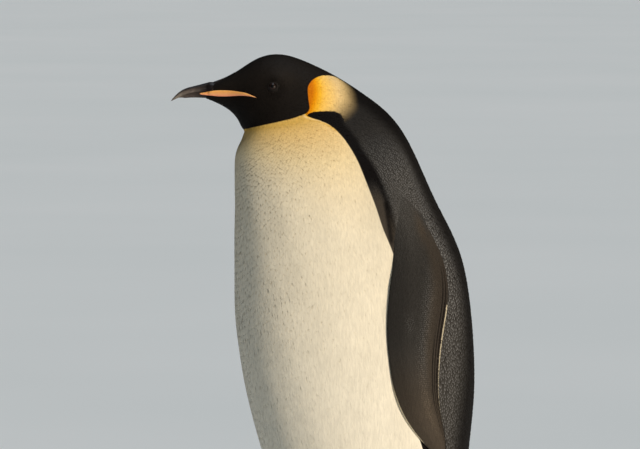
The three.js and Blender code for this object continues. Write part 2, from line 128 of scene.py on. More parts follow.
FLIPPER = {
    "stations": (11.35, 18),
    "behind": [121, 118, 114.5, 111, 105, 102, 104.5, 118],
    "width": [38, 51, 63, 91.5, 91, 76.5, 57, 18],
    "thick": [36, 29, 21, 16, 12.5, 10, 8, 4],
    "stand": [-26, -1, 7, 8.5, 9, 9.5, 9, 7],
    "lift": [0, 0, 2, 4, 5, 5, 5, 4],
    "bend": [0, 1, 6, 11, 13, 12, 9, 4],
    "trailing": 0.45,
    "trailing_bend": 0.5,
    "tuck": 2.0,  # how much further the leading edge of the coated blade bends in than the solid's
}
LEG = {"x": 57, "top": (40, 125), "ankle": (34, 24), "radius": (45, 29), "depth": 1.15}
FOOT = {
    "x": 56,
    "ball_y": 24,
    "splay": 10,
    "toe_spread": 23,
    "toe_length": (64, 77, 62),
    "toe_radius": (12.5, 10),
    "toe_height": 9,
    "instep": 9,
    "pad": (26, 35, 22),
    "pad_at": (9, 16),
    "web": (2.2, 8.4),
    "web_reach": 0.78,
    "web_scoop": 0.8,
}
CLAW = {"length": 27, "seat": 8, "radius": 5.4, "rise": 2.8, "drop": 7.6, "taper": 0.86}
SPUR = {"at": (30, 4, 15), "reach": (-15, -13, -9), "radius": (4.2, 1.2)}
TAIL = {
    "y": [66, 100, 128, 151, 171, 190],
    "z": [232, 172, 118, 74, 36, 4],
    "width": [110, 124, 118, 104, 86, 62],
    "thick": [92, 78, 54, 33, 18, 8],
}


# ---------- curves ----------
def spline(values):
    """The natural cubic spline through values at 0, 1, 2, ...; it runs on straight past its ends."""
    v = np.asarray(values, float)
    last = len(v) - 1
    bend = np.zeros(last + 1)
    factor = np.zeros(last + 1)
    for i in range(1, last):
        pivot = 4 - factor[i - 1]
        factor[i] = 1 / pivot
        bend[i] = (6 * (v[i + 1] - 2 * v[i] + v[i - 1]) - bend[i - 1]) / pivot
    for i in range(last - 1, 0, -1):
        bend[i] -= factor[i] * bend[i + 1]

    def at(t):
        t = np.asarray(t, float)
        i = np.clip(np.floor(t), 0, last - 1).astype(int)
        f = np.clip(t - i, 0, 1)
        g = 1 - f
        straight = g * v[i] + f * v[i + 1] + (t - i - f) * (v[i + 1] - v[i])
        return straight + ((g**3 - g) * bend[i] + (f**3 - f) * bend[i + 1]) / 6

    return at


def profile(values):
    """The same spline with its parameter run from 0 to 1."""
    curve = spline(values)
    return lambda share: curve(np.asarray(share, float) * (len(values) - 1))


def through(*points):
    """A smooth curve through (x, y) points in order of x, level beyond its ends."""
    x, y = np.array(points, float).T
    slope = np.gradient(y, x)

    def at(t):
        t = np.clip(t, x[0], x[-1])
        i = np.clip(np.searchsorted(x, t) - 1, 0, len(x) - 2)
        h = x[i + 1] - x[i]
        f = (t - x[i]) / h
        g = 1 - f
        return (
            y[i] * (1 + 2 * f) * g**2
            + y[i + 1] * (3 - 2 * f) * f**2
            + h * f * g * (slope[i] * g - slope[i + 1] * f)
        )

    return at


def signed_power(value, power):
    return np.sign(value) * np.abs(value) ** power


def mix(a, b, share):
    """From a to b as the share goes from 0 to 1."""
    return a + (b - a) * share


def smooth(low, high, value):
    """From 0 at low to 1 at high, easing in and out; low may be the greater."""
    x = np.clip((value - low) / (high - low), 0, 1)
    return x * x * (3 - 2 * x)


def bump(value, middle, width):
    """1 at the middle, fading to both sides."""
    return np.exp(-(((value - middle) / width) ** 2))


def unit(vectors):
    return vectors / np.linalg.norm(vectors, axis=-1, keepdims=True)


def full_turn(count):
    """Angles evenly round a full turn, in radians."""
    return np.linspace(0, 2 * np.pi, count, endpoint=False)


def rounded(share, over, least):
    """How full a form is at a share from an end that rounds off.

    over: the share over which it does. least: the square of the fullness at the very end.
    """
    return np.sqrt(np.clip(share / over, least, 1))


# ---------- the body ----------
front_y, front_z, rear_y, rear_z, half_width = (spline(column) for column in STATIONS.T)


def head_turn(points, station, angle=HEAD_TURN):
    """Points turned about the neck's upright axis, as far as the head's turn reaches their station."""
    share = 1 - smooth(*TURN_STATIONS, np.asarray(station, float))
    a = np.radians(angle) * share
    x, y = points[..., 0], points[..., 1] - TURN_AXIS_Y
    turned = [x * np.cos(a) - y * np.sin(a), x * np.sin(a) + y * np.cos(a) + TURN_AXIS_Y, points[..., 2]]
    return np.stack(turned, -1)


def loft(station, angle):
    """A point of the body's loft. Angle 0 is the front, 90 its left side and 180 the rear."""
    station, angle = np.broadcast_arrays(np.asarray(station, float), np.radians(angle))
    zero = np.zeros_like(station)
    front = np.stack([zero, front_y(station), front_z(station)], -1)
    rear = np.stack([zero, rear_y(station), rear_z(station)], -1)
    length = np.linalg.norm(rear - front, axis=-1)
    chord = (rear - front) / length[..., None]
    across = np.cos(angle)
    power = np.where(across > 0, 2 / FRONT_POWER, 2 / REAR_POWER)
    reach = np.where(across > 0, WIDEST, 1 - WIDEST) * length
    points = front + chord * (WIDEST * length - reach * signed_power(across, power))[..., None]
    points[..., 0] = half_width(station) * signed_power(np.sin(angle), power)
    return head_turn(points, station)


RIM_MIDDLE = loft(LAST, np.arange(0, 360, 360 / 32)).mean(0)  # of the loft's last section


def body(station, angle):
    """A point of the whole body: the loft, and the dome below its last station."""
    station, angle = np.broadcast_arrays(np.asarray(station, float), np.asarray(angle, float))
    points = loft(np.minimum(station, LAST), angle)
    low, high = np.radians(DOME["latitudes"])
    latitude = mix(low, high, np.clip((station - LAST) / DOME["stations"], 0, 1))
    sunk = (np.sin(latitude) - np.sin(low))[..., None]
    shrink = ((np.cos(latitude) / np.cos(low)) ** DOME["fullness"])[..., None]
    domed = (points - RIM_MIDDLE) * shrink + RIM_MIDDLE + sunk * np.array([0, DOME["lean"], -DOME["height"]])
    return np.where((station > LAST)[..., None], domed, points)


def body_normal(station, angle):
    up = body(station + 0.02, angle) - body(station - 0.02, angle)
    across = body(station, angle + 1) - body(station, angle - 1)
    return unit(-np.cross(across, up))


def side_seat(y, z):
    """The station and angle of the point of the left side of the head that shows at (y, z) from the side."""

    def side(station):
        a, b = front_y(station), front_z(station)
        return (rear_y(station) - a) * (z - b) - (rear_z(station) - b) * (y - a)

    low, high = 0.0, HEAD_END
    rising = side(high) > side(low)
    for _ in range(40):
        middle = (low + high) / 2
        low, high = (low, middle) if (side(middle) > 0) == rising else (middle, high)
    front = np.array([front_y(low), front_z(low)])
    length = math.dist(front, (rear_y(low), rear_z(low)))
    along = math.dist(front, (y, z)) / length
    half, power = (WIDEST, FRONT_POWER) if along < WIDEST else (1 - WIDEST, REAR_POWER)
    return low, math.degrees(math.acos(signed_power((WIDEST - along) / half, power / 2)))


EYE_SEAT = side_seat(EYE["y"], EYE["z"])
EYE_OUT = body_normal(*EYE_SEAT)
EYE_CENTRE = body(*EYE_SEAT) + EYE_OUT * (EYE["proud"] - EYE["radius"])


def mirror_in_head(points):
    """The right-hand copy of a point of the left side of the head, across the turned head's own middle."""
    back = head_turn(points, 0, -HEAD_TURN)
    return head_turn(back * np.array([-1, 1, 1]), 0)


def mirror(points):
    return points * np.array([-1, 1, 1])


def keep(points):
    return points


SIDES = {"left": keep, "right": mirror}


# the bird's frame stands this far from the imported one
SHIFT = np.array(sum(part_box("eye_left"), Vector()) / 2) - EYE_CENTRE * MM


def place(points):
    return points * MM + SHIFT


# ---------- sheets ----------
FEWEST = 3  # feathers in a row


class Sheet:
    """A surface sampled on a grid, closed round v. It gives points and normals anywhere on it."""

    def __init__(self, shape, low, high, rows, columns, relief=None, place_side=keep):
        self.low, self.high, self.rows, self.columns = low, high, rows, columns
        self.u = np.linspace(low, high, rows)
        self.v = np.arange(columns) / columns
        self.points = shape(self.u[:, None], self.v[None, :])
        self.face_out()
        if relief is not None:
            heights = relief(self.u[:, None], self.v[None, :], self.points)
            self.points = self.points + self.normals * heights[..., None]
        self.points = place_side(self.points)
        self.face_out()

    def face_out(self):
        """Works out the normals, all on the outer side."""
        along = np.gradient(self.points, axis=0)
        across = np.roll(self.points, -1, 1) - np.roll(self.points, 1, 1)
        normals = np.cross(along, across)
        away = self.points - self.points.mean(1, keepdims=True)
        sign = np.sign((normals * away).sum())
        self.normals = unit(sign * normals + 1e-12)
        self.turns_out = sign > 0

    def grid(self, values, u, v):
        """The values of the grid's points, read between them."""
        a = np.clip((u - self.low) / (self.high - self.low), 0, 1) * (self.rows - 1)
        i = np.minimum(a.astype(int), self.rows - 2)
        b = (v % 1) * self.columns
        j = b.astype(int) % self.columns
        k = (j + 1) % self.columns
        f, g = (a - i)[..., None], (b - np.floor(b))[..., None]
        here = values[i, j] * (1 - g) + values[i, k] * g
        return here * (1 - f) + (values[i + 1, j] * (1 - g) + values[i + 1, k] * g) * f

    def at(self, u, v, height=0.0):
        return self.grid(self.points, u, v) + self.grid(self.normals, u, v) * np.asarray(height)[..., None]

    def seeds(self, along, across, rng, jitter):
        """Staggered places for feathers. Their spacings in millimetres are functions of (u, v)."""
        contours = self.contours(along)
        slopes = np.nan_to_num(np.gradient(contours, axis=0))
        found = []
        for r, contour in enumerate(contours):
            u = np.where(np.isnan(contour), self.high, contour)
            ring = self.at(u, self.v)
            length = np.linalg.norm(np.roll(ring, -1, 0) - ring, axis=-1)
            share = np.where(np.isnan(contour), 0, length / (across(u, self.v) * SPARSE))
            total = np.concatenate([[0], np.cumsum(share)])
            count = int(total[-1])
            if count < FEWEST:
                continue
            wanted = (np.arange(count) + 0.5 * (r % 2) + rng.uniform(-jitter, jitter, count)) % count
            round_v = np.append(self.v, 1)
            v = np.interp(wanted * total[-1] / count, total, round_v) % 1
            column = (v * self.columns).astype(int) % self.columns
            shifted = slopes[r, column] * rng.uniform(-jitter, jitter, count)
            found.append(np.stack([np.interp(v, round_v, np.append(u, u[0])) + shifted, v], -1))
        u, v = np.concatenate(found).T
        return np.clip(u, self.low, self.high), v

    def contours(self, along):
        """The u of each row of feathers at each column, and nan where the sheet ends before the row."""
        step = np.linalg.norm(np.diff(self.points, axis=0), axis=-1)
        pitch = along(*np.broadcast_arrays(self.u[:, None], self.v[None, :])) * SPARSE
        rank = np.vstack([np.zeros(self.columns), np.cumsum(2 * step / (pitch[1:] + pitch[:-1]), 0)])
        rows = np.arange(int(rank.max())) + 0.5
        return np.array([np.interp(rows, column, self.u, right=np.nan) for column in rank.T]).T

    def scales(self, u, v):
        """Millimetres for each unit of u and of v."""
        step_u, step_v = (self.high - self.low) / self.rows, 1 / self.columns
        along = np.linalg.norm(self.at(u + step_u, v) - self.at(u - step_u, v), axis=-1) / (2 * step_u)
        across = np.linalg.norm(self.at(u, v + step_v) - self.at(u, v - step_v), axis=-1) / (2 * step_v)
        return np.maximum(along, 1e-3), np.maximum(across, 1e-3)

    def solid(self, name, height, rows, columns):
        """A closed mesh object over the sheet, at a height above it that is a number or a function of u."""
        u, v = np.linspace(self.low, self.high, rows), np.arange(columns) / columns
        u, v = np.broadcast_arrays(u[:, None], v[None, :])
        lift = height(u) if callable(height) else np.full(u.shape, height)
        return rings_object(name, self.at(u, v, lift))


# ---------- meshes ----------
def set_attribute(mesh, key, values, kind="FLOAT", domain="POINT"):
    mesh.attributes.new(key, kind, domain).data.foreach_set("value", values)


def linked(made):
    bpy.context.scene.collection.objects.link(made)
    return made


def mesh_object(name, points, faces, attributes=None, uv=None, sharp=None):
    """An object of triangles, with its points in the bird's millimetres.

    uv: a place for each point. sharp: whether an edge between two such points is sharp.
    """
    faces = np.asarray(faces)
    count, corners = faces.shape
    mesh = bpy.data.meshes.new(name)
    mesh.vertices.add(len(points))
    mesh.vertices.foreach_set("co", place(points).astype(np.float32).ravel())
    mesh.loops.add(count * corners)
    mesh.loops.foreach_set("vertex_index", faces.astype(np.int32).ravel())
    mesh.polygons.add(count)
    mesh.polygons.foreach_set("loop_start", (np.arange(count) * corners).astype(np.int32))
    mesh.polygons.foreach_set("use_smooth", np.ones(count, bool))
    for key, values in (attributes or {}).items():
        set_attribute(mesh, key, values.astype(np.float32).ravel())
    if uv is not None:
        layer = mesh.uv_layers.new(name="OFBake")
        layer.data.foreach_set("uv", uv[faces.ravel()].astype(np.float32).ravel())
    mesh.update(calc_edges=True)
    if sharp is not None:
        pairs = np.zeros(len(mesh.edges) * 2, np.int32)
        mesh.edges.foreach_get("vertices", pairs)
        set_attribute(mesh, "sharp_edge", sharp[pairs.reshape(-1, 2)].all(1), "BOOLEAN", "EDGE")
    return linked(bpy.data.objects.new(name, mesh))


def ring_faces(rows, columns):
    """Triangles of a tube of rings, closed at both ends by a fan about an extra point."""
    i, j = np.meshgrid(np.arange(rows - 1), np.arange(columns), indexing="ij")
    k = (j + 1) % columns
    a, b, c, d = i * columns + j, i * columns + k, (i + 1) * columns + k, (i + 1) * columns + j
    sides = np.concatenate([np.stack([a, b, c], -1).reshape(-1, 3), np.stack([a, c, d], -1).reshape(-1, 3)])
    j = np.arange(columns)
    k = (j + 1) % columns
    first, end = rows * columns, (rows - 1) * columns
    start_cap = np.stack([k, j, np.full(columns, first)], -1)
    end_cap = np.stack([end + j, end + k, np.full(columns, first + 1)], -1)
    return np.concatenate([sides, start_cap, end_cap])


def outward(points, faces):
    """The faces of a closed mesh, turned outward."""
    a, b, c = (points[faces[:, k]] - points.mean(0) for k in range(3))
    return faces if (a * np.cross(b, c)).sum() > 0 else faces[:, ::-1]


def rings_object(name, rings, attributes=None):
    """A closed tube through rings of points."""
    rows, columns = rings.shape[:2]
    points = np.concatenate([rings.reshape(-1, 3), rings[[0, -1]].mean(1)])
    faces = ring_faces(rows, columns)
    with_ends = {k: np.concatenate([a.ravel(), a[[0, -1]].mean(1)]) for k, a in (attributes or {}).items()}
    return mesh_object(name, points, outward(points, faces), with_ends)


def tube(path, widths, heights, side, around):
    """Rings of a tapered tube along a path: side is the way its width lies."""
    ahead = unit(np.gradient(path, axis=0))
    side = np.broadcast_to(side, path.shape)
    up = unit(np.cross(side, ahead))
    angle = full_turn(around)
    across = side[:, None] * (np.asarray(widths)[:, None] / 2 * np.cos(angle))[..., None]
    over = up[:, None] * (np.asarray(heights)[:, None] / 2 * np.sin(angle))[..., None]
    return path[:, None] + across + over


def baked(made, *modifiers):
    """The object with its modifiers applied."""
    for kind, settings in modifiers:
        modifier = made.modifiers.new(kind, kind)
        for key, value in settings.items():
            setattr(modifier, key, value)
    mesh = bpy.data.meshes.new_from_object(made.evaluated_get(bpy.context.evaluated_depsgraph_get()))
    made.modifiers.clear()
    made.data = mesh
    return made


def coordinates(made):
    """The points of an object in the bird's millimetres."""
    points = np.zeros(len(made.data.vertices) * 3, np.float32)
    made.data.vertices.foreach_get("co", points)
    return (points.reshape(-1, 3).astype(float) - SHIFT) / MM


def triangles_of(made):
    made.data.calc_loop_triangles()
    corners = np.zeros(len(made.data.loop_triangles) * 3, np.int32)
    made.data.loop_triangles.foreach_get("vertices", corners)
    return corners.reshape(-1, 3)


def finished(made, material, slot, *nodes):
    """The object with its material, attached to the root, and the nodes that it replaces hidden. slot: not
    used.
    """
    made.data.materials.clear()
    made.data.materials.append(material)
    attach(made, "root")
    if nodes:
        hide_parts(*nodes)
    return made


# ---------- markings ----------
MARKS = ("dark", "slate", "warm", "brown", "pale")  # what a place is coloured by, as body_marks() says


def fold(v):
    """Degrees round from the front, the same on both sides."""
    return 180 - np.abs((v % 1) * 360 - 180)


# the rear edge of the black hood, as a station for each angle from the throat to the nape
hood_edge = through(
    (0, 4.95), (15, 5.2), (37, 6.15), (58, 7.1), (77, 7.82), (91, 8.2), (98, 8.28), (102, 8.16),
    (107, 7.82), (113, 7.48), (120, 7.2), (130, 7.06), (142, 7.1), (155, 7.28), (168, 7.6), (180, 8.1),
)
# the angle where the light front meets the dark side, for each station down from the point of the black band
light_edge = through(
    (8, 99), (8.2, 97), (8.36, 95.8), (8.66, 97.2), (9, 100.5), (9.3, 102.4), (9.98, 102.7), (10.5, 101.8),
    (11, 100.9), (11.6, 100), (12.4, 99.8), (13, 99.3), (13.4, 99.8), (15, 99), (16.6, 99), (17.6, 102.5),
    (18.2, 108), (20, 113), (22.5, 117), (24.5, 124), (26.5, 150),
)
# the angle where the black band gives way to the grey of the back
band_edge = through(
    (8, 92), (8.34, 94), (8.42, 100.8), (8.58, 106.2), (8.76, 111.5), (8.98, 115.8), (9.15, 116.9),
    (9.35, 115.2), (9.6, 112), (9.88, 111), (10.34, 110), (10.72, 108.4), (11.46, 108.4), (12.06, 107.8),
    (13.2, 105), (16.6, 107), (17.6, 112), (20, 120), (26.5, 156),
)
# the station where the cream of the ear patch has faded half way into the grey of the nape
patch_end = through(
    (98, 9.02), (110, 9.05), (119, 9.05), (124, 9), (132.5, 8.9), (146, 8.56), (164, 8.16), (172, 7.95),
)
NAPE = 171  # the angle where the ear patches give way to the dark stripe of the nape
degree_size = through((0, 0.5), (6, 0.95), (8.5, 1.25), (10, 1.6), (12, 2.1), (14, 2.6), (26.5, 2.4))  # mm
FARTHEST = 6  # a marking is 0.5 on its edge and 1 inside, and runs on this far past both
# how warm the light feathers are: by the station behind the ear patch's upright front, and behind the hood
ear_warmth = through(
    (7.75, 1), (7.96, 0.9), (8.22, 0.8), (8.5, 0.73), (8.76, 0.69), (9.03, 0.64), (9.3, 0.6),
)
EAR_LEAN = 0.035  # stations for each degree round, by which an upright line on the ear patch leans
EAR_MIDDLE = 112  # degrees round
breast_warmth = through(
    (0, 0.53), (0.25, 0.52), (0.7, 0.47), (1.5, 0.4), (2.6, 0.3), (4, 0.2), (6, 0.12), (9, 0.04), (13, 0.0)
)
# how pale the tips of the back's feathers are, for each station down it, before the painted shade along the
# back's middle line darkens them
back_paleness = through(
    (7, 0.08), (9, 0.12), (9.8, 0.2), (10.8, 0.34), (11.5, 0.5), (12.2, 0.68), (13, 0.7), (15, 0.62),
    (24, 0.5),
)


def crease_line(u, a):
    """1 in the crease between the breast and the front of the shoulder, fading to 0 beside it. It sinks the
    relief there and darkens the slate as painted shade.
    """
    middle = 105 - 4.65 * (u - 12.44)
    return bump(a, middle, 1.3) * smooth(12.25, 12.5, u) * smooth(13.45, 13.25, u)


def darkness(u, a):
    """Past 0.5 on the hood, the nape's stripe, the black band and the back."""
    per_station = mix(8, 26, smooth(0, 180, a))
    per_degree = degree_size(u)
    hood = (hood_edge(a) - u) * per_station / 1.3
    nape = (a - NAPE) * per_degree / 3
    side = (a - light_edge(u)) * per_degree
    band = np.minimum(side, (band_edge(u) - a) * per_degree) / 1.3
    back = np.minimum(side / 1.3, (u - patch_end(a)) * 22 / 24)
    return 0.5 + np.clip(np.maximum.reduce([hood, nape, band, back]), -FARTHEST, FARTHEST)


def warmth(u, a):
    """How warm the light feathers are, on the ear patch and down the breast."""
    past_hood = np.maximum(u - hood_edge(a), 0)
    ear = smooth(-3, 2, a - light_edge(u)) * smooth(9.9, 9.5, u)
    return mix(breast_warmth(past_hood), ear_warmth(u + EAR_LEAN * (a - EAR_MIDDLE)), ear)


def body_marks(u, v):
    """What a place on the body is coloured by.

    dark: past 0.5 where the feathers are dark.
    slate: from black to grey. It is taken towards black as painted shade along the back's middle line and in
    the crease by the shoulder, and is lighter as painted sheen above and behind the eye.
    warm: from the white of the belly to the orange of the ear patch.
    brown: from grey to brown.
    pale: how light the tips of dark feathers are, fading as painted shade towards the back's middle line.
    """
    a = fold(v)
    slate = np.clip(0.5 + (a - band_edge(u)) * degree_size(u) / 6, 0, 1) * smooth(8.2, 9.2, u)
    on_head = smooth(-0.1, 0.15, hood_edge(a) - u)
    # painted sheen: the head's colour is lighter brown above and behind the eye, where light glances off its
    # feathers
    brow_sheen = bump(u, 5.7, 0.9) * bump(a, 121, 12)
    forehead = bump(u, 2.2, 1.3) * smooth(70, 100, a)
    crown = smooth(60, 120, a) * smooth(1.5, 4, u)
    # painted shade: towards the back's middle line the slate goes towards black and the pale tips fade,
    # standing in for the shade along the back's outline
    spine_shade_from = mix(131, 121, smooth(15, 18, u))
    spine_shade = smooth(spine_shade_from, spine_shade_from + 20, a)
    shoulder_front = bump(u, 12.6, 0.75) * smooth(119, 112, a)
    speckled = bump(u, 14, 1.3) * bump(a, 131, 9)
    flank = smooth(11.6, 12.4, u) * smooth(14, 13.3, u) * smooth(107, 103, a)
    slate = np.maximum(slate * mix(1, 0.2, spine_shade), 0.75 * flank)
    # painted shade: in the crease between the breast and the shoulder the slate goes nearly to black
    slate = slate * mix(0.32, 1, smooth(9.8, 12.2, u)) * (1 - 0.9 * crease_line(u, a))
    slate = mix(slate, 0.06 + 0.05 * crown + 0.06 * brow_sheen + 0.11 * forehead, on_head)
    brown = np.maximum(0.8 * flank, on_head)
    pale = back_paleness(u) * mix(1, 0.12, spine_shade) * (1 - 0.55 * shoulder_front) + 0.35 * speckled
    pale = pale * (1 - 0.8 * flank) * (1 - 0.7 * on_head)
    return dict(zip(MARKS, (darkness(u, a), slate, warmth(u, a), brown, pale)))


def around_blade(v):
    """A place across a flipper, from -1 at its leading to 1 at its trailing edge, and its height outward."""
    return -np.cos(2 * np.pi * v), np.sin(2 * np.pi * v)


RIDGES = 50  # radians of the ridges along the flipper's trailing edge, for each half width of the blade


def ridged(u, across):
    """1 where fine ridges run beside the flipper's trailing edge, and 0 elsewhere."""
    start = mix(0.6, 0.46, smooth(0.5, 0.8, u))
    return smooth(start, start + 0.1, across) * smooth(0.95, 0.88, across) * smooth(0.36, 0.48, u)


def flipper_darkness(u, v):
    """Past 0.5 on the outside, the tip and the leading edge, but not on the trailing edge's cream rim."""
    across, height = around_blade(v)
    trailing_half = smooth(0.5, 0.9, across)
    fringe = smooth(0.7, 0.85, u) * smooth(-0.9, -0.97, across)
    outside = (height + mix(0.05, 0.3, trailing_half) - 0.25 * fringe) * 12
    lead = (mix(-0.6, -0.93, smooth(0.45, 0.7, u)) - across) * 20 * (1 - fringe) - 2 * fringe
    tip = (u - 0.94) * 60
    rim_from = mix(0.925, 0.96, smooth(0.6, 0.85, u)) + 0.012 * np.sin(u * 260) * np.sin(u * 83)
    rim_shows = smooth(0.485, 0.53, u) * mix(1, 0.5, smooth(0.66, 0.9, u)) * smooth(0.97, 0.92, u)
    rim = np.minimum((across - rim_from) * 40, 6 * (rim_shows - 0.4))
    dark = np.minimum(np.maximum.reduce([outside, lead, tip]), -np.minimum(rim, 0.17))
    return 0.5 + np.clip(dark, -FARTHEST, FARTHEST)


def flipper_marks(u, v):
    """Slate and brown with a paler stripe and a pale patch, and painted shade in the grooves between the ridges
    by the trailing edge.
    """
    across, _ = around_blade(v)
    below_shoulder = smooth(0.16, 0.42, u)
    # painted shade: by the trailing edge the slate is darker in the grooves between the fine ridges and lighter
    # on their tops, in step with the ridges of flipper_relief
    ridge_shading = 0.5 + 0.5 * np.sin(across * RIDGES)
    stripe = bump(across, 0.15, 0.26) * smooth(0.36, 0.5, u) * smooth(0.98, 0.85, u)
    patch = bump(u, 0.585, 0.028) * bump(across, -0.4, 0.15)
    russet = bump(u, 0.29, 0.06) * bump(across, 0.4, 0.35)
    leading_dark = bump(u, 0.5, 0.14) * smooth(0.4, -0.1, across)
    slate = 0.6 - 0.1 * leading_dark + 0.14 * stripe + 0.1 * smooth(0.6, 0.7, u) + 0.2 * smooth(0.78, 0.92, u)
    slate = slate * mix(1, mix(0.1, 1.25, ridge_shading), ridged(u, across)) * (1 - 0.2 * russet)
    slate = slate * (1 - 0.6 * bump(across, 0.87, 0.05) * smooth(0.44, 0.55, u))
    pale = (0.08 + 0.7 * stripe + 0.6 * patch) * (1 - 0.7 * ridged(u, across))
    trailing = smooth(0.0, 0.5, across) * smooth(0.24, 0.34, u)
    brown = np.maximum.reduce([0.85 * trailing, smooth(0.62, 0.88, u), russet])
    slate, pale = mix(0.95, slate, below_shoulder), mix(0.3, pale, below_shoulder)
    return dict(zip(MARKS, (flipper_darkness(u, v), slate, 0.2 + 0 * u, brown, pale)))


# ---------- relief of the body ----------
def shoulder(u, v):
    """How far the shoulder swells the body where the flipper grows out of it, in millimetres."""
    a = fold(v)
    share = (u - FLIPPER["stations"][0]) / (FLIPPER["stations"][1] - FLIPPER["stations"][0])
    rise = smooth(-0.16, 0.1, share) * smooth(0.46, 0.16, share)
    middle = mix(121, 113, smooth(0, 0.3, share))
    return 15 * rise * np.exp(-np.abs((a - middle) / 17) ** 2.6)


FACE_FORMS = [  # mm forward of the eye, mm above it, size, height
    (0, 0, 8.5, -1.0),
    (-7, 10, 10, 1.8),
    (-30, -4, 13, -1.2),
    (15, -4, 13, -1.1),
    (-6, -24, 18, 1.3),
]


def face(points):
    """The soft forms round the eyes and the gape, in millimetres."""
    height = np.zeros(points.shape[:-1])
    for side in (keep, mirror_in_head):
        centre = side(EYE_CENTRE + EYE_OUT * EYE["radius"])
        forward = side(EYE_CENTRE + np.array([0, -1.0, 0])) - side(EYE_CENTRE)
        for ahead, above, size, rise in FACE_FORMS:
            middle = centre + forward * ahead + np.array([0, 0, above])
            height += rise * bump(np.linalg.norm(points - middle, axis=-1), 0, size)
    return height


def body_relief(u, v, points):
    """The forms that the coated body has beyond its solids, in millimetres."""
    a = fold(v)
    faces = np.zeros(points.shape[:-1])
    near_face = np.broadcast_to(u < HEAD_END + 1.5, faces.shape)
    faces[near_face] = face(points[near_face])
    crease = -2.0 * crease_line(u, a) + 1.5 * bump(u, 12.6, 0.6) * bump(a, 109, 3)
    waves = 0.5 * np.sin(u * 2.1 + np.sin(a * 0.07) * 2) * np.sin(a * 0.11 + u) * smooth(9, 12, u)
    chin = 1.6 * bump(u, 4.6, 0.7) * bump(a, 0, 32) + 1.5 * bump(u, 6.3, 0.8) * bump(a, 0, 30)
    return shoulder(u, v) + faces + crease + waves + chin


body_sheet = Sheet(lambda u, v: body(u, v * 360), 0, BODY_END, 1061, 540, body_relief)


# ---------- flippers ----------
blade = {key: profile(FLIPPER[key]) for key in ("behind", "width", "thick", "stand", "lift", "bend")}


def blade_centre(share):
    """The body's normal under a flipper's middle line, and the place on that line."""
    station = mix(*FLIPPER["stations"], share)
    angle = blade["behind"](share)
    normal = body_normal(station, angle)
    return normal, body(station, angle) + normal * blade["stand"](share)[..., None]


def turn_about(vectors, axis, angle):
    c, s = np.cos(angle)[..., None], np.sin(angle)[..., None]
    along = (axis * vectors).sum(-1, keepdims=True)
    return vectors * c + np.cross(axis, vectors) * s + axis * along * (1 - c)


def blade_frame(share):
    """The middle line of the left flipper, its direction across to the trailing edge, and outward."""
    normal, centre = blade_centre(share)
    along = unit(blade_centre(share + 0.01)[1] - blade_centre(share - 0.01)[1])
    chord = unit(np.cross(normal, along))
    chord = np.where(chord[..., 1:2] < 0, -chord, chord)
    chord = turn_about(chord, along, np.radians(blade["lift"](share)) * np.sign(along[..., 2]))
    out = unit(np.cross(chord, along))
    return centre, chord, np.where(out[..., :1] < 0, -out, out)


ROUND_TIP = 0.035  # share of the blade over which its tip is rounded off


def flipper(share, v):
    """The left flipper: v is 0 at its leading edge, 0.25 outside, 0.5 at its trailing edge, 0.75 inside."""
    share, v = np.broadcast_arrays(share, v)
    centre, chord, out = blade_frame(share)
    end = np.clip((share - 1 + ROUND_TIP) / ROUND_TIP, 0, 1)
    rounding = np.sqrt(np.clip(1 - end**2, 0.02, 1))
    across, height = around_blade(v)
    thin = np.where(across < 0, 1, mix(1, FLIPPER["trailing"], across))
    half_thick = blade["thick"](share) / 2 * thin * rounding
    bend = across**2 * blade["bend"](share) * np.where(across < 0, 1, FLIPPER["trailing_bend"])
    tuck = FLIPPER["tuck"] * smooth(0, -1, across) * smooth(0.15, 0.35, share)
    side = (across * blade["width"](share) / 2 * rounding)[..., None]
    return centre + chord * side + out * (height * half_thick - bend - tuck)[..., None]


def flipper_relief(u, v, points):
    """Ridges along the trailing edge, bones along the leading edge, and a knob and a crease at the wrist."""
    across, height = around_blade(v)
    outside = smooth(0, 0.4, height)
    ridges = 0.7 * np.sin(across * RIDGES) * ridged(u, across)
    bones = 1.1 * bump(across, -0.55, 0.28) - 0.7 * bump(across, -0.05, 0.2)
    knob = 1.3 * bump(u, 0.55, 0.06) * bump(across, -0.1, 0.3)
    crease = 1.5 * bump(u - 0.06 * across, 0.41, 0.014) * bump(across, 0.02, 0.14)
    fade = smooth(0.1, 0.35, u) * smooth(1.0, 0.93, u)
    return outside * fade * (ridges + bones + knob - crease)


# ---------- legs, tail ----------
def straight_tube(start, end, radii, depth):
    """A sheet's shape for a tapered limb between two (y, z) points at the left leg's x."""

    def shape(u, v):
        u, v = np.broadcast_arrays(u, v)
        x = np.full(u.shape, float(LEG["x"]))
        middle = np.stack([x, mix(start[0], end[0], u), mix(start[1], end[1], u)], -1)
        axis = unit(np.array([0, end[0] - start[0], end[1] - start[1]], float))
        side = np.array([1.0, 0, 0])
        fore = np.cross(axis, side)
        radius = mix(*radii, u)[..., None]
        angle = (2 * np.pi * v)[..., None]
        return middle + side * radius * np.sin(angle) - fore * radius * depth * np.cos(angle)

    return shape


def tail(u, v):
    """The tail's solid body: v is 0 below it and 0.5 above."""
    u, v = np.broadcast_arrays(u, v)
    y, z, width, thick = (profile(TAIL[key]) for key in ("y", "z", "width", "thick"))
    path = np.stack([np.zeros(u.shape), y(u), z(u)], -1)
    ahead = unit(np.stack([np.zeros(u.shape), y(u + 0.01) - y(u - 0.01), z(u + 0.01) - z(u - 0.01)], -1))
    side = np.array([1.0, 0, 0])
    up = np.cross(side, ahead)
    angle = 2 * np.pi * v
    across = side * (width(u) / 2 * np.sin(angle))[..., None]
    return path + across + up * (thick(u) / 2 * -np.cos(angle))[..., None]


# ---------- feathers ----------
VANE = np.array([  # along and across of a vane's points: its outline, then the top and bottom middles
    [0, 0],
    [0.42, -1],
    [0.84, -0.66],
    [1, 0],
    [0.84, 0.66],
    [0.42, 1],
    [0.62, 0],
    [0.6, 0],
])
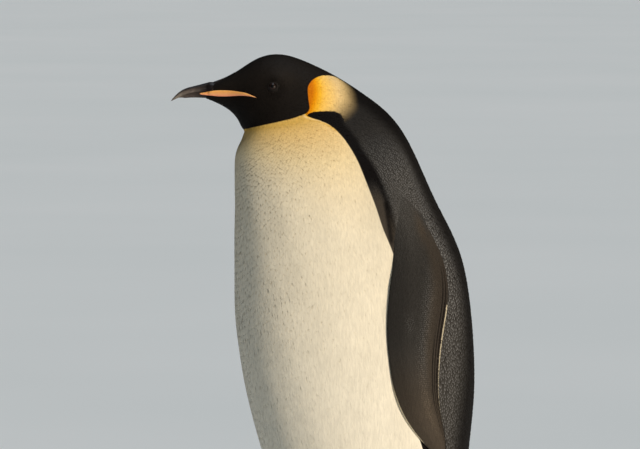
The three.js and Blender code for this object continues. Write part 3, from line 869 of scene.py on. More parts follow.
# how high the same points stand: scaly feathers show their rows, and sleek ones lie almost level
SCALY = np.array([0, 0.5, 0.86, 0.95, 0.86, 0.5, 1, 0.5])
SLEEK = np.array([0, 0.84, 0.95, 0.97, 0.95, 0.84, 0.96, 0.7])
SPOT = np.array([0, 0, 0, 1, 0, 0, 0.5, 0])  # the pale streak down the middle of a dark feather's end
OUTLINE, TOP, BOTTOM = 6, 6, 7  # the number of points of a vane's outline, and its two middles
CORNERS = len(VANE)
RIM = [(i, (i + 1) % OUTLINE) for i in range(OUTLINE)]
VANE_FACES = np.array([[TOP, i, k] for i, k in RIM] + [[BOTTOM, k, i] for i, k in RIM])
PATCH = 0.003  # the size of a feather's patch on its piece's UV map
# how feathers vary: the spread of their yaw in radians, their size, and how far they stand out for each
# millimetre of their depth
VARIETY = {"yaw": 0.09, "scale": (0.86, 1.12), "lean": (-0.1, 0.07)}


def vanes(name, sheet, u, v, length, width, depth, marks, sleek=0.0):
    """One joined mesh of closed leaf-shaped vanes that lie along the sheet, each rising from the skin to it.

    sleek: from 0 for scaly feathers that show their rows to 1 for ones that lie almost level.
    """
    count = len(u)
    per_u, per_v = sheet.scales(u, v)
    sleek = np.broadcast_to(np.asarray(sleek, float), count)
    yaw = rng.normal(0, VARIETY["yaw"], count) * mix(1, 0.5, sleek)
    scale = rng.uniform(*VARIETY["scale"], count)
    lean = rng.uniform(*VARIETY["lean"], count) * depth * mix(1, 0.2, sleek)
    crown = mix(0.36, 0.13, sleek) * np.minimum(1, width / 5)
    along, across, height = VANE[:, 0][None, :], VANE[:, 1][None, :], mix(SCALY, SLEEK, sleek[:, None])
    down = along * (length * scale)[:, None]
    aside = across * (width * scale / 2)[:, None] + down * np.sin(yaw)[:, None]
    rise = -depth[:, None] * (1 - height) + lean[:, None] * height**2
    rise[:, TOP] += crown
    rise[:, BOTTOM] -= 0.25
    grid_u = u[:, None] + down / per_u[:, None]
    grid_v = v[:, None] + aside / per_v[:, None]
    points = sheet.at(grid_u, grid_v, rise)
    faces = (np.arange(count) * CORNERS)[:, None, None] + VANE_FACES[None]
    if not sheet.turns_out:
        faces = faces[..., ::-1]
    made = marks(np.minimum(grid_u, sheet.high), grid_v)
    attributes = {key: np.broadcast_to(value, grid_u.shape).ravel() for key, value in made.items()}
    attributes["spot"] = np.tile(SPOT, count)
    attributes["rand"] = np.repeat(rng.random(count), CORNERS)
    middle = np.stack([v % 1, (u - sheet.low) / (sheet.high - sheet.low)], -1)
    patch = np.stack([VANE[:, 1] / 2, VANE[:, 0] - 0.5], -1) * PATCH
    uv = (middle[:, None] * (1 - 2 * PATCH) + PATCH + patch[None]).reshape(-1, 2)
    sharp = np.tile(np.arange(CORNERS) < OUTLINE, count)
    return mesh_object(name, points.reshape(-1, 3), faces.reshape(-1, 3), attributes, uv, sharp)


def tree_of(made):
    return BVHTree.FromPolygons([tuple(p) for p in coordinates(made)], triangles_of(made).tolist())


PROBE = Vector((0.37, 0.61, 0.7)).normalized()  # a slanted way out, along no face of the bird


def crossings(tree, start):
    """How many faces a ray out of a point meets."""
    count, start = 0, Vector(start)
    while True:
        spot = tree.ray_cast(start, PROBE)[0]
        if spot is None:
            return count
        count += 1
        start = spot + PROBE * 0.01


def buried(points, made, deep=0.0):
    """Which points lie inside a closed mesh by more than a depth."""
    corners = coordinates(made)
    low, high = corners.min(0), corners.max(0)
    near = ((points > low) & (points < high)).all(1)
    inside = np.zeros(len(points), bool)
    tree = tree_of(made)
    for i in np.nonzero(near)[0]:
        if crossings(tree, points[i]) % 2:
            inside[i] = tree.find_nearest(points[i])[3] > deep
    return inside


# ---------- materials ----------
def rgb(red, green, blue):
    """A colour given by its 0 to 255 screen values."""
    values = np.array([red, green, blue]) / 255
    return (*np.where(values <= 0.04045, values / 12.92, ((values + 0.055) / 1.055) ** 2.4), 1.0)


class Look:
    """A node material round one Principled shader."""

    def __init__(self, name, **constants):
        self.material = bpy.data.materials.new(name)
        self.material.use_nodes = True
        self.tree = self.material.node_tree
        self.shader = self.tree.nodes["Principled BSDF"]
        for key, value in constants.items():
            self.shader.inputs[key.replace("_", " ")].default_value = value

    def node(self, kind, inputs=None, **settings):
        node = self.tree.nodes.new(kind)
        for key, value in settings.items():
            setattr(node, key, value)
        for key, value in (inputs or {}).items():
            self.feed(node.inputs[key], value)
        return node

    def feed(self, socket, value):
        if hasattr(value, "is_linked"):
            self.tree.links.new(value, socket)
        else:
            socket.default_value = value

    def attribute(self, name):
        return self.node("ShaderNodeAttribute", attribute_name=name).outputs["Fac"]

    def maths(self, operation, a, b):
        return self.node("ShaderNodeMath", {0: a, 1: b}, operation=operation).outputs[0]

    def times(self, a, *others):
        for other in others:
            a = self.maths("MULTIPLY", a, other)
        return a

    def ranged(self, value, low, high, to_low=0.0, to_high=1.0):
        inputs = {"Value": value, "From Min": low, "From Max": high, "To Min": to_low, "To Max": to_high}
        return self.node("ShaderNodeMapRange", inputs, interpolation_type="SMOOTHSTEP").outputs[0]

    def ramp(self, value, *stops):
        node = self.node("ShaderNodeValToRGB", {"Fac": value})
        elements = node.color_ramp.elements
        while len(elements) < len(stops):
            elements.new(1.0)
        for element, (at, colour) in zip(elements, stops):
            element.position = at
            element.color = colour
        return node.outputs["Color"]

    def blend(self, share, a, b, kind="MIX"):
        inputs = {"Factor": share, 6: a, 7: b}  # 6 and 7 are the two colours
        return self.node("ShaderNodeMix", inputs, data_type="RGBA", blend_type=kind).outputs[2]

    def shaded(self, colour, value):
        """A colour made darker or lighter by a value about 1."""
        grey = self.node("ShaderNodeCombineColor", {0: value, 1: value, 2: value}).outputs[0]
        return self.blend(1.0, colour, grey, "MULTIPLY")

    def mapped(self, stretch=(1, 1, 1)):
        place_node = self.node("ShaderNodeTexCoord").outputs["Object"]
        return self.node("ShaderNodeMapping", {"Vector": place_node, "Scale": stretch}).outputs[0]

    def noise(self, scale, detail, stretch=(1, 1, 1)):
        inputs = {"Vector": self.mapped(stretch), "Scale": scale, "Detail": detail, "Roughness": 0.55}
        return self.node("ShaderNodeTexNoise", inputs).outputs["Fac"]

    def varied(self, noise, low, high):
        """A noise spread between two values."""
        return self.ranged(noise, 0.3, 0.7, low, high)

    def cells(self, scale):
        """How far a place is from the edges between cells."""
        inputs = {"Vector": self.mapped(), "Scale": scale}
        return self.node("ShaderNodeTexVoronoi", inputs, feature="DISTANCE_TO_EDGE").outputs["Distance"]

    def bumps(self, height, strength, distance):
        inputs = {"Height": height, "Strength": strength, "Distance": distance}
        self.feed(self.shader.inputs["Normal"], self.node("ShaderNodeBump", inputs).outputs[0])

    def colour(self, value):
        self.feed(self.shader.inputs["Base Color"], value)


LIGHT_FEATHERS = (  # from the white of the belly to the orange of the ear patch
    (0.0, rgb(238, 232, 215)),
    (0.15, rgb(231, 221, 197)),
    (0.3, rgb(229, 208, 163)),
    (0.42, rgb(226, 193, 130)),
    # the stop at 0.52 is the throat just under the hood: its own gold, made darker as painted shade under the
    # head
    (0.52, rgb(215, 174, 88)),
    (0.6, rgb(229, 197, 137)),
    (0.7, rgb(238, 196, 108)),
    (0.8, rgb(240, 182, 48)),
    (0.9, rgb(230, 150, 6)),
    (1.0, rgb(206, 116, 2)),
)
JET = rgb(13, 10, 9)
SLATE = rgb(58, 56, 53)
SLATE_TIP = rgb(140, 139, 138)
BROWN = rgb(74, 66, 57)
BROWN_TIP = rgb(136, 122, 104)


def dark_feathers(look):
    """The colours of dark feathers, without their pale tips."""
    return look.blend(look.attribute("slate"), JET, look.blend(look.attribute("brown"), SLATE, BROWN))


def marked(look, dark):
    """Light feathers where the dark marking ends, and the dark ones inside it."""
    light = look.ramp(look.attribute("warm"), *LIGHT_FEATHERS)
    return look.blend(look.ranged(look.attribute("dark"), 0.0, 1.0), light, dark)


def plumage_look():
    """Marked feathers with a pale streak on the dark ones' ends. Each feather and patch differs a little."""
    look = Look("plumage", Roughness=0.6, Specular_IOR_Level=0.06)
    rand = look.attribute("rand")
    streak = look.times(look.ranged(look.attribute("spot"), 0.3, 0.8), look.ranged(rand, 0.0, 1.0, 0.7, 1.0))
    tipped = look.times(streak, look.times(look.attribute("slate"), look.attribute("pale")))
    tip = look.blend(look.attribute("brown"), SLATE_TIP, BROWN_TIP)
    plain = marked(look, look.blend(tipped, dark_feathers(look), tip))
    patchy = look.varied(look.noise(26, 2), 0.97, 1.02)
    streaky = look.varied(look.noise(460, 2, (1, 1, 0.12)), 0.94, 1.04)
    look.colour(look.shaded(plain, look.times(patchy, streaky, look.ranged(rand, 0.0, 1.0, 0.96, 1.02))))
    look.bumps(look.noise(700, 2, (1, 1, 0.13)), 0.25, 0.0004)
    return look.material


def skin_look():
    """The same markings as the plumage, and dark scaly skin on the feet."""
    look = Look("skin", Roughness=0.65, Specular_IOR_Level=0.14)
    plain = marked(look, dark_feathers(look))
    scales = look.cells(230)
    foot = look.ramp(look.noise(40, 4), (0.3, rgb(30, 26, 26)), (0.7, rgb(58, 52, 51)))
    foot = look.blend(look.ranged(scales, 0.0, 0.12), rgb(18, 15, 15), foot)
    is_foot = look.attribute("foot")
    look.colour(look.blend(is_foot, plain, foot))
    height = look.times(look.ranged(scales, 0.0, 0.25), is_foot)
    look.bumps(look.maths("ADD", height, look.times(look.noise(600, 3), 0.3)), 0.5, 0.0006)
    return look.material


def horn_look():
    """Horn that is pale towards its tip, dark along its ridge and black where it meets the face, with a painted
    highlight of lighter grey low on each side of the upper bill.
    """
    look = Look("bill_horn", Specular_IOR_Level=0.2)
    ridge = look.attribute("ridge")
    # painted highlight: the lighter grey low on each side of the upper bill, the stop at 0.16, stands in for
    # light on the glossy horn; the dark ridge is the horn's own
    sides = look.ramp(
        ridge, (0.0, rgb(44, 38, 36)), (0.16, rgb(106, 97, 90)), (0.5, rgb(82, 72, 66)),
        (0.75, rgb(44, 38, 37)), (1.0, rgb(30, 26, 27)),
    )
    tip = look.times(look.attribute("tip"), look.ranged(ridge, 0.75, 0.4, 0.2, 0.8))
    tipped = look.blend(look.attribute("base"), look.blend(tip, sides, rgb(132, 124, 114)), rgb(25, 19, 18))
    # streaked along the bill: the horn's grain, with painted highlight streaks
    look.colour(look.shaded(tipped, look.varied(look.noise(60, 4, (6, 1, 6)), 0.72, 1.18)))
    look.bumps(look.noise(260, 4, (4, 1, 4)), 0.35, 0.0004)
    look.feed(look.shader.inputs["Roughness"], look.varied(look.noise(90, 3), 0.42, 0.58))
    return look.material


def plate_look():
    look = Look("bill_plate", Roughness=0.36, Specular_IOR_Level=0.5, Subsurface_Weight=0.08)
    rise = ((0.0, rgb(255, 156, 116)), (0.45, rgb(255, 175, 110)), (0.8, rgb(255, 178, 96)))
    mottled = look.varied(look.noise(120, 3, (1, 0.5, 1)), 0.94, 1.06)
    look.colour(look.shaded(look.ramp(look.attribute("height"), *rise), mottled))
    look.bumps(look.noise(300, 3), 0.25, 0.0003)
    return look.material


def eye_look():
    look = Look("eye", Roughness=0.38, Specular_IOR_Level=0.2)
    polar = look.attribute("polar")
    iris = look.ramp(look.noise(500, 4), (0.35, rgb(20, 12, 9)), (0.65, rgb(38, 22, 15)))
    iris = look.blend(look.ranged(polar, 0.62, 0.74), iris, rgb(12, 8, 7))
    look.colour(look.blend(look.ranged(polar, 0.3, 0.34), rgb(4, 4, 5), iris))
    return look.material


def claw_look():
    look = Look("claw_horn", Roughness=0.38, Specular_IOR_Level=0.5, Coat_Weight=0.15, Coat_Roughness=0.3)
    streaks = look.noise(80, 4, (1, 0.3, 1))
    look.colour(look.ramp(streaks, (0.3, rgb(26, 23, 22)), (0.7, rgb(62, 56, 52))))
    look.bumps(look.noise(200, 4, (3, 0.6, 3)), 0.4, 0.0005)
    return look.material


# ---------- the skin ----------
# how deep the skin lies under the outside of the coat, for each station
coat_depth = through((0, 0.7), (3, 1.0), (6, 1.4), (9, 2.1), (12, 2.7), (20, 3.0), (26.5, 3.0))


def from_pole(polar, around, pole, first, second):
    """Directions at an angle from a pole, and round it from the first direction to the second."""
    return (
        pole * np.cos(polar)[..., None]
        + first * (np.sin(polar) * np.cos(around))[..., None]
        + second * (np.sin(polar) * np.sin(around))[..., None]
    )


# an eyelid: the half axes of its opening and how far back it reaches, in degrees from where the eye looks,
# and its inner and outer face, in millimetres off the eyeball
LID = {"opening": (52, 45), "back": 84, "faces": (0.12, 0.95)}


def lid(side):
    """An eyelid ring that wraps the front of the eyeball round an almond opening."""
    ahead = unit(np.array([0, -1.0, 0]) + EYE_OUT * EYE_OUT[1])
    up = np.cross(ahead, EYE_OUT)
    up = up * np.sign(up[2])
    around = full_turn(72)[None, :]
    long, high = LID["opening"]
    opening = np.radians(np.hypot(long * np.cos(around), high * np.sin(around)) + 2 * np.cos(2 * around))
    inner, outer = (EYE["radius"] + off for off in LID["faces"])
    share = np.linspace(0, 1, 9)[:, None]
    back = np.radians(LID["back"])
    polar = np.concatenate([mix(back, opening, share), opening - np.radians(2.2), mix(opening, back, share)])
    wrinkle = 0.12 * np.sin(around * 18) * np.sin(np.pi * share)
    fold_line = 0.35 * bump(share, 0.45, 0.12) * (0.5 + 0.5 * np.sin(around)) ** 0.5
    radius = np.concatenate([
        np.full(wrinkle.shape, inner),
        np.full(opening.shape, (inner + outer) / 2),
        outer + wrinkle - fold_line,
    ])
    rings = side(EYE_CENTRE + from_pole(polar, around, EYE_OUT, ahead, up) * radius[..., None])
    rows, columns = rings.shape[:2]
    last = (rows - 1) * columns
    j = np.arange(columns)
    k = (j + 1) % columns
    close = np.concatenate([np.stack([last + j, last + k, k], -1), np.stack([last + j, k, j], -1)])
    faces = np.concatenate([ring_faces(rows, columns)[: 2 * last], close])
    points = rings.reshape(-1, 3)
    return mesh_object("lid", points, outward(points, faces))


def eye_ball(name, radius, side, cornea=0.0):
    """A ball in an eye's place, whose pole looks out, with a slight bulge for a cornea."""
    rows, columns = 48, 64
    polar = np.linspace(0.02, np.pi - 0.02, rows)[:, None]
    first = unit(np.cross(EYE_OUT, [0, 0, 1.0]))
    reach = radius + cornea * smooth(0.72, 0.35, polar)
    ways = from_pole(polar, full_turn(columns)[None, :], EYE_OUT, first, np.cross(EYE_OUT, first))
    rings = side(EYE_CENTRE + ways * reach[..., None])
    return rings_object(name, rings, {"polar": np.broadcast_to(polar, (rows, columns))})


BALL_OF_FOOT = np.array([FOOT["x"], FOOT["ball_y"], 0.0])
SCUTE, SCUTE_HEIGHT = 4.6, 0.9  # mm along a toe from one cross scute to the next, and how high they stand
WEB_SUNK = 1.2  # mm by which the top of the web lies under its solid's
FOOT_VOXEL = 1.5  # mm


def toe_directions(toe):
    """Ahead along a toe and aside from it."""
    angle = math.radians(FOOT["splay"] + (toe - 1) * FOOT["toe_spread"])
    ahead = np.array([math.sin(angle), -math.cos(angle), 0])
    return ahead, np.cross(ahead, [0, 0, -1.0])


def along_toe(toe, reach, height):
    """A path over a toe, by how far ahead of the ball of the foot and how high it is."""
    return BALL_OF_FOOT + toe_directions(toe)[0] * reach[:, None] + np.array([0, 0, 1]) * height[:, None]


def toe_solid(toe):
    share = np.linspace(0, 1, 25)
    height = FOOT["toe_height"] + FOOT["instep"] * (1 - share) ** 2
    path = along_toe(toe, share * FOOT["toe_length"][toe], height)
    knuckles = 1 + 0.05 * np.cos(share * 2 * np.pi * 3) * smooth(0.1, 0.3, share)
    blunt = np.sqrt(1 - smooth(0.86, 1.0, share) * 0.5)
    sizes = 2 * mix(*FOOT["toe_radius"], share) * knuckles * blunt
    return rings_object("toe", tube(path, sizes * 1.06, sizes, toe_directions(toe)[1], 20))


def foot_pad():
    around, polar = np.meshgrid(full_turn(28), np.linspace(0.05, np.pi - 0.05, 16))
    round_pad = np.stack([np.sin(polar) * np.cos(around), np.cos(polar), np.sin(polar) * np.sin(around)], -1)
    return rings_object("pad", round_pad * np.array(FOOT["pad"]) + BALL_OF_FOOT + [0, *FOOT["pad_at"]])


def web(toe):
    """The skin between a toe and the next, with a hollow front edge."""
    reach = [FOOT["toe_length"][t] * FOOT["web_reach"] for t in (toe, toe + 1)]
    near, far = (BALL_OF_FOOT + toe_directions(toe + i)[0] * reach[i] for i in (0, 1))
    scoop = mix((near + far) / 2, BALL_OF_FOOT, 1 - FOOT["web_scoop"])
    t = np.linspace(0, 1, 13)[:, None]
    edge = near * (1 - t) ** 2 + scoop * 2 * t * (1 - t) + far * t**2
    outline = np.concatenate([BALL_OF_FOOT[None], edge])
    count = len(outline)
    low, high = FOOT["web"]
    points = np.concatenate([outline + [0, 0, low], outline + [0, 0, high - WEB_SUNK]])
    faces = []
    for i in range(1, count - 1):
        faces += [[0, i, i + 1], [count, count + i + 1, count + i]]
    for i in range(count):
        k = (i + 1) % count
        faces += [[i, count + k, k], [i, count + i, count + k]]
    return mesh_object("web", points, outward(points, np.array(faces)))


def scuted(points):
    """The foot's points with cross scutes raised on top of the toes."""
    nearest = np.full(len(points), np.inf)
    height = np.zeros(len(points))
    for toe in range(3):
        along, aside = ((points - BALL_OF_FOOT) @ way for way in toe_directions(toe))
        off = np.abs(aside)
        on_toe = smooth(11, 6, off) * smooth(-4, 8, along) * smooth(6, 10, points[:, 2])
        scute = np.abs(np.sin(np.pi * along / SCUTE)) ** 0.5
        height = np.where(off < nearest, on_toe * (scute - 0.55), height)
        nearest = np.minimum(nearest, off)
    return points + np.array([0, 0, SCUTE_HEIGHT]) * height[:, None]


def foot_solid(side):
    """Toes with knuckles, webs and a heel pad, grown together, with scutes across the toes."""
    foot = joined("foot", [toe_solid(toe) for toe in range(3)] + [foot_pad(), web(0), web(1)])
    foot = baked(
        foot,
        ("REMESH", {"mode": "VOXEL", "voxel_size": FOOT_VOXEL * MM, "use_smooth_shade": True}),
        ("SMOOTH", {"factor": 0.5, "iterations": 5}),
    )
    points = scuted(coordinates(foot))
    points[:, 2] = np.maximum(points[:, 2], 0)
    foot.data.vertices.foreach_set("co", place(side(points)).astype(np.float32).ravel())
    if side is mirror:
        foot.data.flip_normals()
    return foot


def joined(name, pieces):
    """One object of several meshes' points and faces."""
    points, faces, offset = [], [], 0
    for piece in pieces:
        points.append(coordinates(piece))
        faces.append(triangles_of(piece) + offset)
        offset += len(points[-1])
        bpy.data.objects.remove(piece)
    return mesh_object(name, np.concatenate(points), np.concatenate(faces))


def unite(base, additions, cuts):
    """The union of the base with the additions, after the cuts are taken out of it."""
    steps = [("DIFFERENCE", cut) for cut in cuts] + [("UNION", piece) for piece in additions]
    settings = [{"solver": "MANIFOLD", "operation": how, "object": piece} for how, piece in steps]
    baked(base, *(("BOOLEAN", setting) for setting in settings))
    for _, piece in steps:
        bpy.data.objects.remove(piece)
    return base


def mark_skin(skin, sheets):
    """Gives the skin's points the markings of the nearest place of the coat's sheets."""
    points = coordinates(skin)
    places, marks = [], []
    step = 4  # every fourth point of a sheet's grid is enough
    for sheet, marker in sheets:
        u, v = np.meshgrid(sheet.u[::step], sheet.v[::step], indexing="ij")
        places.append(sheet.points[::step, ::step].reshape(-1, 3))
        marks.append({key: np.broadcast_to(value, u.shape).ravel() for key, value in marker(u, v).items()})
    everything = np.concatenate(places)
    tree = KDTree(len(everything))
    for i, spot in enumerate(everything):
        tree.insert(spot, i)
    tree.balance()
    nearest = np.array([tree.find(p)[1] for p in points])
    for key in MARKS[:4]:  # the skin has no pale tips
        values = np.concatenate([m[key] for m in marks])[nearest]
        set_attribute(skin.data, key, values.astype(np.float32))
    on_foot = smooth(36, 24, points[:, 2]) * smooth(110, 90, points[:, 1])
    set_attribute(skin.data, "foot", on_foot.astype(np.float32))


# ---------- bill ----------
FLARE_FROM = -212  # y from which the bare sides of the upper bill widen over the face
FLARE = 0.37  # mm of half width for each mm further back
bill = {key: profile(BEAK[key]) for key in ("culmen", "tomium", "gonys", "half_width")}
BILL_ANGLE = full_turn(56)[None, :]  # round a section, from its left side up


def bill_share(y):
    """0 at the bill's tip and 1 at its base."""
    return np.clip((y - BEAK["tip_y"]) / (BEAK["base_y"] - BEAK["tip_y"]), 0, 1)


def lower_share(y):
    return np.clip((y - BEAK["lower_tip_y"]) / (BEAK["base_y"] - BEAK["lower_tip_y"]), 0, 1)


def lower_half_width(y):
    return bill["half_width"](bill_share(y)) * mix(*BEAK["lower_width"], np.sqrt(lower_share(y)))


def bill_section(y, ridge, mouth, wide, hollow):
    """A section, rounded over its ridge and slightly hollow on the mouth side."""
    c, s = np.cos(BILL_ANGLE), np.sin(BILL_ANGLE)
    over = np.where(s > 0, np.abs(s) ** 0.85, -hollow * np.abs(s) ** 0.5 * (1 - 2.2 * np.abs(s) ** 2))
    x = wide * signed_power(c, 0.9) * mix(1, 0.86, np.clip(s, 0, 1) ** 2)
    return np.stack([x, np.broadcast_to(y, x.shape), mouth + (ridge - mouth) * over], -1)


def upper_bill(y, round_tip):
    """Rings of the upper bill, with a groove and a nostril on each side."""
    share, side = bill_share(y), np.sin(BILL_ANGLE)
    mouth = bill["tomium"](share)
    ridge = mix(mouth, bill["culmen"](share), round_tip)
    flare = FLARE * np.clip(y - FLARE_FROM, 0, 7) * smooth(-196, -201, y)
    rings = bill_section(y, ridge, mouth, (bill["half_width"](share) + flare) * round_tip, 0.06)
    groove = 0.55 * bump(side, 0.42, 0.12) * smooth(0.2, 0.45, share)
    nostril = bump(side, 0.45, 0.1) * bump(y, -213, 3.0)
    rings[..., 0] -= np.sign(rings[..., 0]) * (groove + nostril)
    return rings, np.clip(side, 0, 1)


def lower_bill(y, round_tip):
    mouth = bill["tomium"](bill_share(y)) - BEAK["mouth_gap"]
    keel = np.minimum(bill["gonys"](lower_share(y)), mouth - 0.6)
    keel = mix(mouth, keel, smooth(-0.06, 0.26, lower_share(y)))
    return bill_section(y, keel, mouth, lower_half_width(y) * round_tip, 0.04), 0.6


BILLS = (("upper", BEAK["tip_y"], upper_bill), ("lower", BEAK["lower_tip_y"], lower_bill))


def bill_pieces(material):
    for name, tip_y, shape in BILLS:
        run = np.linspace(0, 1, 90)[:, None] ** 1.5
        y = mix(tip_y, BEAK["base_y"] + 10, run)  # the bill runs on inside the face
        rings, ridge = shape(y, rounded(run, 0.03, 0.03))
        marks = {"tip": smooth(0.5, 0.05, bill_share(y)), "ridge": ridge, "base": smooth(-234, -212, y)}
        marks = {key: np.broadcast_to(value, rings.shape[:2]) for key, value in marks.items()}
        piece = rings_object("horn_" + name, head_turn(rings, 0), marks)
        finished(piece, material, "bill_horn", "bill_" + name)


# the bare ridge behind the bill's base: the station at which it ends in a point, and in millimetres its half
# width and how high it stands, both from front to end, and how deep it goes. bare: degrees from the middle of
# the ridge to the first feathers, from front to end
CULMEN = {"end": 1.75, "half_width": (6.4, 0.7), "proud": (1.1, 0.5), "deep": 3.0, "bare": (44, 8)}


def culmen_tongue(material):
    """The bare ridge of the bill, which runs back over the forehead to a point between the feathers."""
    share = np.linspace(0, 1, 30)[:, None]
    station = mix(-0.4, CULMEN["end"], share)
    angle = full_turn(32)[None, :]
    wide = mix(*CULMEN["half_width"], share**1.3) * rounded(1 - share, 0.08, 0.1)
    x = wide * np.cos(angle)
    drop = (x / 11) ** 2 * 3.0 + 2.5 * smooth(0.24, 0.04, share)
    high = np.where(np.sin(angle) > 0, mix(*CULMEN["proud"], share), CULMEN["deep"])
    z = rear_z(station) + high * np.sin(angle) - drop
    rings = np.stack([x, np.broadcast_to(rear_y(station), x.shape), z], -1)
    marks = {"tip": np.zeros(x.shape), "ridge": np.ones(x.shape), "base": np.full(x.shape, 0.8)}
    piece = rings_object("horn_culmen", head_turn(rings, 0), marks)
    finished(piece, material, "bill_horn")


plate_middle = through(*((y, z) for y, z, _ in PLATE["run"]))
plate_half = through(*((y, half) for y, _, half in PLATE["run"]))


def plate_seat(y, z):
    """The place under a plate's middle line, and outward there: on the face, then on the lower bill."""
    base_y = BEAK["base_y"]
    station, angle = side_seat(max(y, base_y), z)
    out, seat = body_normal(station, angle), body(station, angle)
    if y < base_y + 1:
        ahead = head_turn(np.array([0, y, z]), 0) - head_turn(np.array([0, base_y, z]), 0)
        on_bill = head_turn(np.array([float(lower_half_width(y)), y, z]), 0)
        away = unit(head_turn(np.array([1.0, -0.12, 0.1]), 0) - head_turn(np.zeros(3), 0))
        blend = float(smooth(base_y + 1, base_y - 3, y))
        seat = mix(seat + ahead if y < base_y else seat, on_bill, blend)
        out = unit(mix(out, away, blend))
    return seat, out


def plate_piece(side, name, material):
    """A coloured plate: a long lens with a rounded face, part sunk into the bill and face."""
    rings, heights = [], []
    around = full_turn(28)
    sunk = (PLATE["proud"] - PLATE["deep"]) / 2
    half = (PLATE["proud"] + PLATE["deep"]) / 2
    for share in np.linspace(0, 1, 90):
        y = mix(PLATE["run"][0][0], PLATE["run"][-1][0], share)
        seat, out = plate_seat(y, float(plate_middle(y)))
        up = unit(np.array([0, 0, 1.0]) - out * out[2])
        close = rounded(1 - share, 0.04, 0.03) * rounded(share, 0.02, 0.1)
        proud = mix(0.75, 1, float(smooth(-218, -206, y)))
        lift = sunk + half * close * proud * signed_power(np.sin(around), PLATE["squareness"])
        rings.append(seat + up * (plate_half(y) * close * np.cos(around))[:, None] + out * lift[:, None])
        heights.append(0.5 + 0.5 * np.cos(around))
    piece = rings_object(name, side(np.array(rings)), {"height": np.array(heights)})
    finished(piece, material, "bill_plate", name.replace("horn", "bill"))


# ---------- claws ----------
def claw(toe):
    share = np.linspace(0, 1, 30)
    reach = FOOT["toe_length"][toe] - CLAW["seat"] + (CLAW["length"] + CLAW["seat"]) * share
    height = FOOT["toe_height"] + CLAW["rise"] * np.sin(share * np.pi) - CLAW["drop"] * share**2
    sizes = 2 * CLAW["radius"] * (1 - CLAW["taper"] * share**1.5) * rounded(1 - share, 0.06, 0.04)
    return tube(along_toe(toe, reach, height), sizes * 0.96, sizes, toe_directions(toe)[1], 20)


def spur():
    """The small claw of the hind toe."""
    share = np.linspace(0, 1, 20)
    path = np.array(SPUR["at"]) + np.stack([share, share, share**2], -1) * np.array(SPUR["reach"])
    sizes = 2 * mix(*SPUR["radius"], share) * rounded(1 - share, 0.1, 0.1)
    return tube(path, sizes, sizes, np.array([0, 0, 1.0]), 14)


def claw_pieces(material):
    for which, side in SIDES.items():
        for number, rings in enumerate([claw(0), claw(1), claw(2), spur()], 1):
            piece = rings_object(f"nail_{which}_{number}", side(rings))
            finished(piece, material, "claw_horn", f"claw_{which}_{number}")


# ---------- building the bird ----------
rng = np.random.default_rng(20)
plumage, skin_material = plumage_look(), skin_look()


def both_sides(shape, rows, columns, relief=None):
    """The sheets of a left and a right limb."""
    return {which: Sheet(shape, 0, 1, rows, columns, relief, side) for which, side in SIDES.items()}


flipper_sheets = both_sides(flipper, 420, 240, flipper_relief)
leg_sheets = both_sides(straight_tube(LEG["top"], LEG["ankle"], LEG["radius"], LEG["depth"]), 60, 80)
tail_sheet = Sheet(tail, 0, 0.985, 120, 120)

SKIN_UNDER = {"flipper": 0.8, "leg": 2.5, "tail": 2.2}  # mm from the outside of their coats in to the skin
# the closed parts of the skin
parts = {"body": body_sheet.solid("skin", lambda u: -coat_depth(u), 520, 270)}
for which, sheet in flipper_sheets.items():
    parts["flipper_" + which] = sheet.solid("flipper", -SKIN_UNDER["flipper"], 300, 120)
for which, sheet in leg_sheets.items():
    parts["leg_" + which] = sheet.solid("leg", -SKIN_UNDER["leg"], 60, 80)
parts["tail"] = tail_sheet.solid("tail", -SKIN_UNDER["tail"], 120, 120)
HIDDEN_FROM = 1.5  # mm inside another part, where feathers are left out


def seeds_of(sheet, along, across, own, jitter=0.13):
    """Places for feathers on a sheet, without those that lie inside another part of the bird."""
    u, v = sheet.seeds(along, across, rng, jitter)
    points = sheet.at(u, v, 1.0)
    hidden = np.zeros(len(u), bool)
    for name, part in parts.items():
        if name != own:
            hidden |= buried(points, part, HIDDEN_FROM)
    return u[~hidden], v[~hidden]


# the bare side of the bill above the plate: y of its rear end, and z of its two edges there. The upper edge
# rises by so much for each millimetre ahead
BARE_SIDE = {"end": -205, "edges": (949, 951.2), "rise": 0.3}
BARE_ROUND_EYE = 8.0  # mm from the front of the eye
row_pitch = through(  # mm, for each station; it is coarse below the lower edge of the photo
    (0, 1.7), (2, 1.9), (5, 2.5), (8, 3.2), (11, 4.2), (15, 5.0), (18.5, 5.3), (21, 6.8), (26.5, 7.3),
)


def is_light(u, v):
    """1 among the light feathers and 0 among the dark."""
    return smooth(1.6, 0.4, darkness(u, fold(v)))


def on_belly(u, v):
    """From the scaly feathers of the back and head to the long strokes of the belly."""
    return is_light(u, v) * smooth(9, 13, u)


def feather_size(u, v):
    """The pitch of the rows of feathers on the body, which is finer over the shoulder's point."""
    return row_pitch(u) * (1 - 0.42 * bump(u, 12.5, 0.9) * bump(fold(v), 116, 13))


def body_along(u, v):
    return feather_size(u, v) * mix(1, 1.85, on_belly(u, v))


def body_across(u, v):
    return feather_size(u, v) * mix(0.78, 0.44, on_belly(u, v))


def from_eye(points):
    """How far places are from the front of the nearer eye, in millimetres."""
    fronts = [side(EYE_CENTRE + EYE_OUT * 5) for side in (keep, mirror_in_head)]
    return np.minimum(*(np.linalg.norm(points - front, axis=-1) for front in fronts))


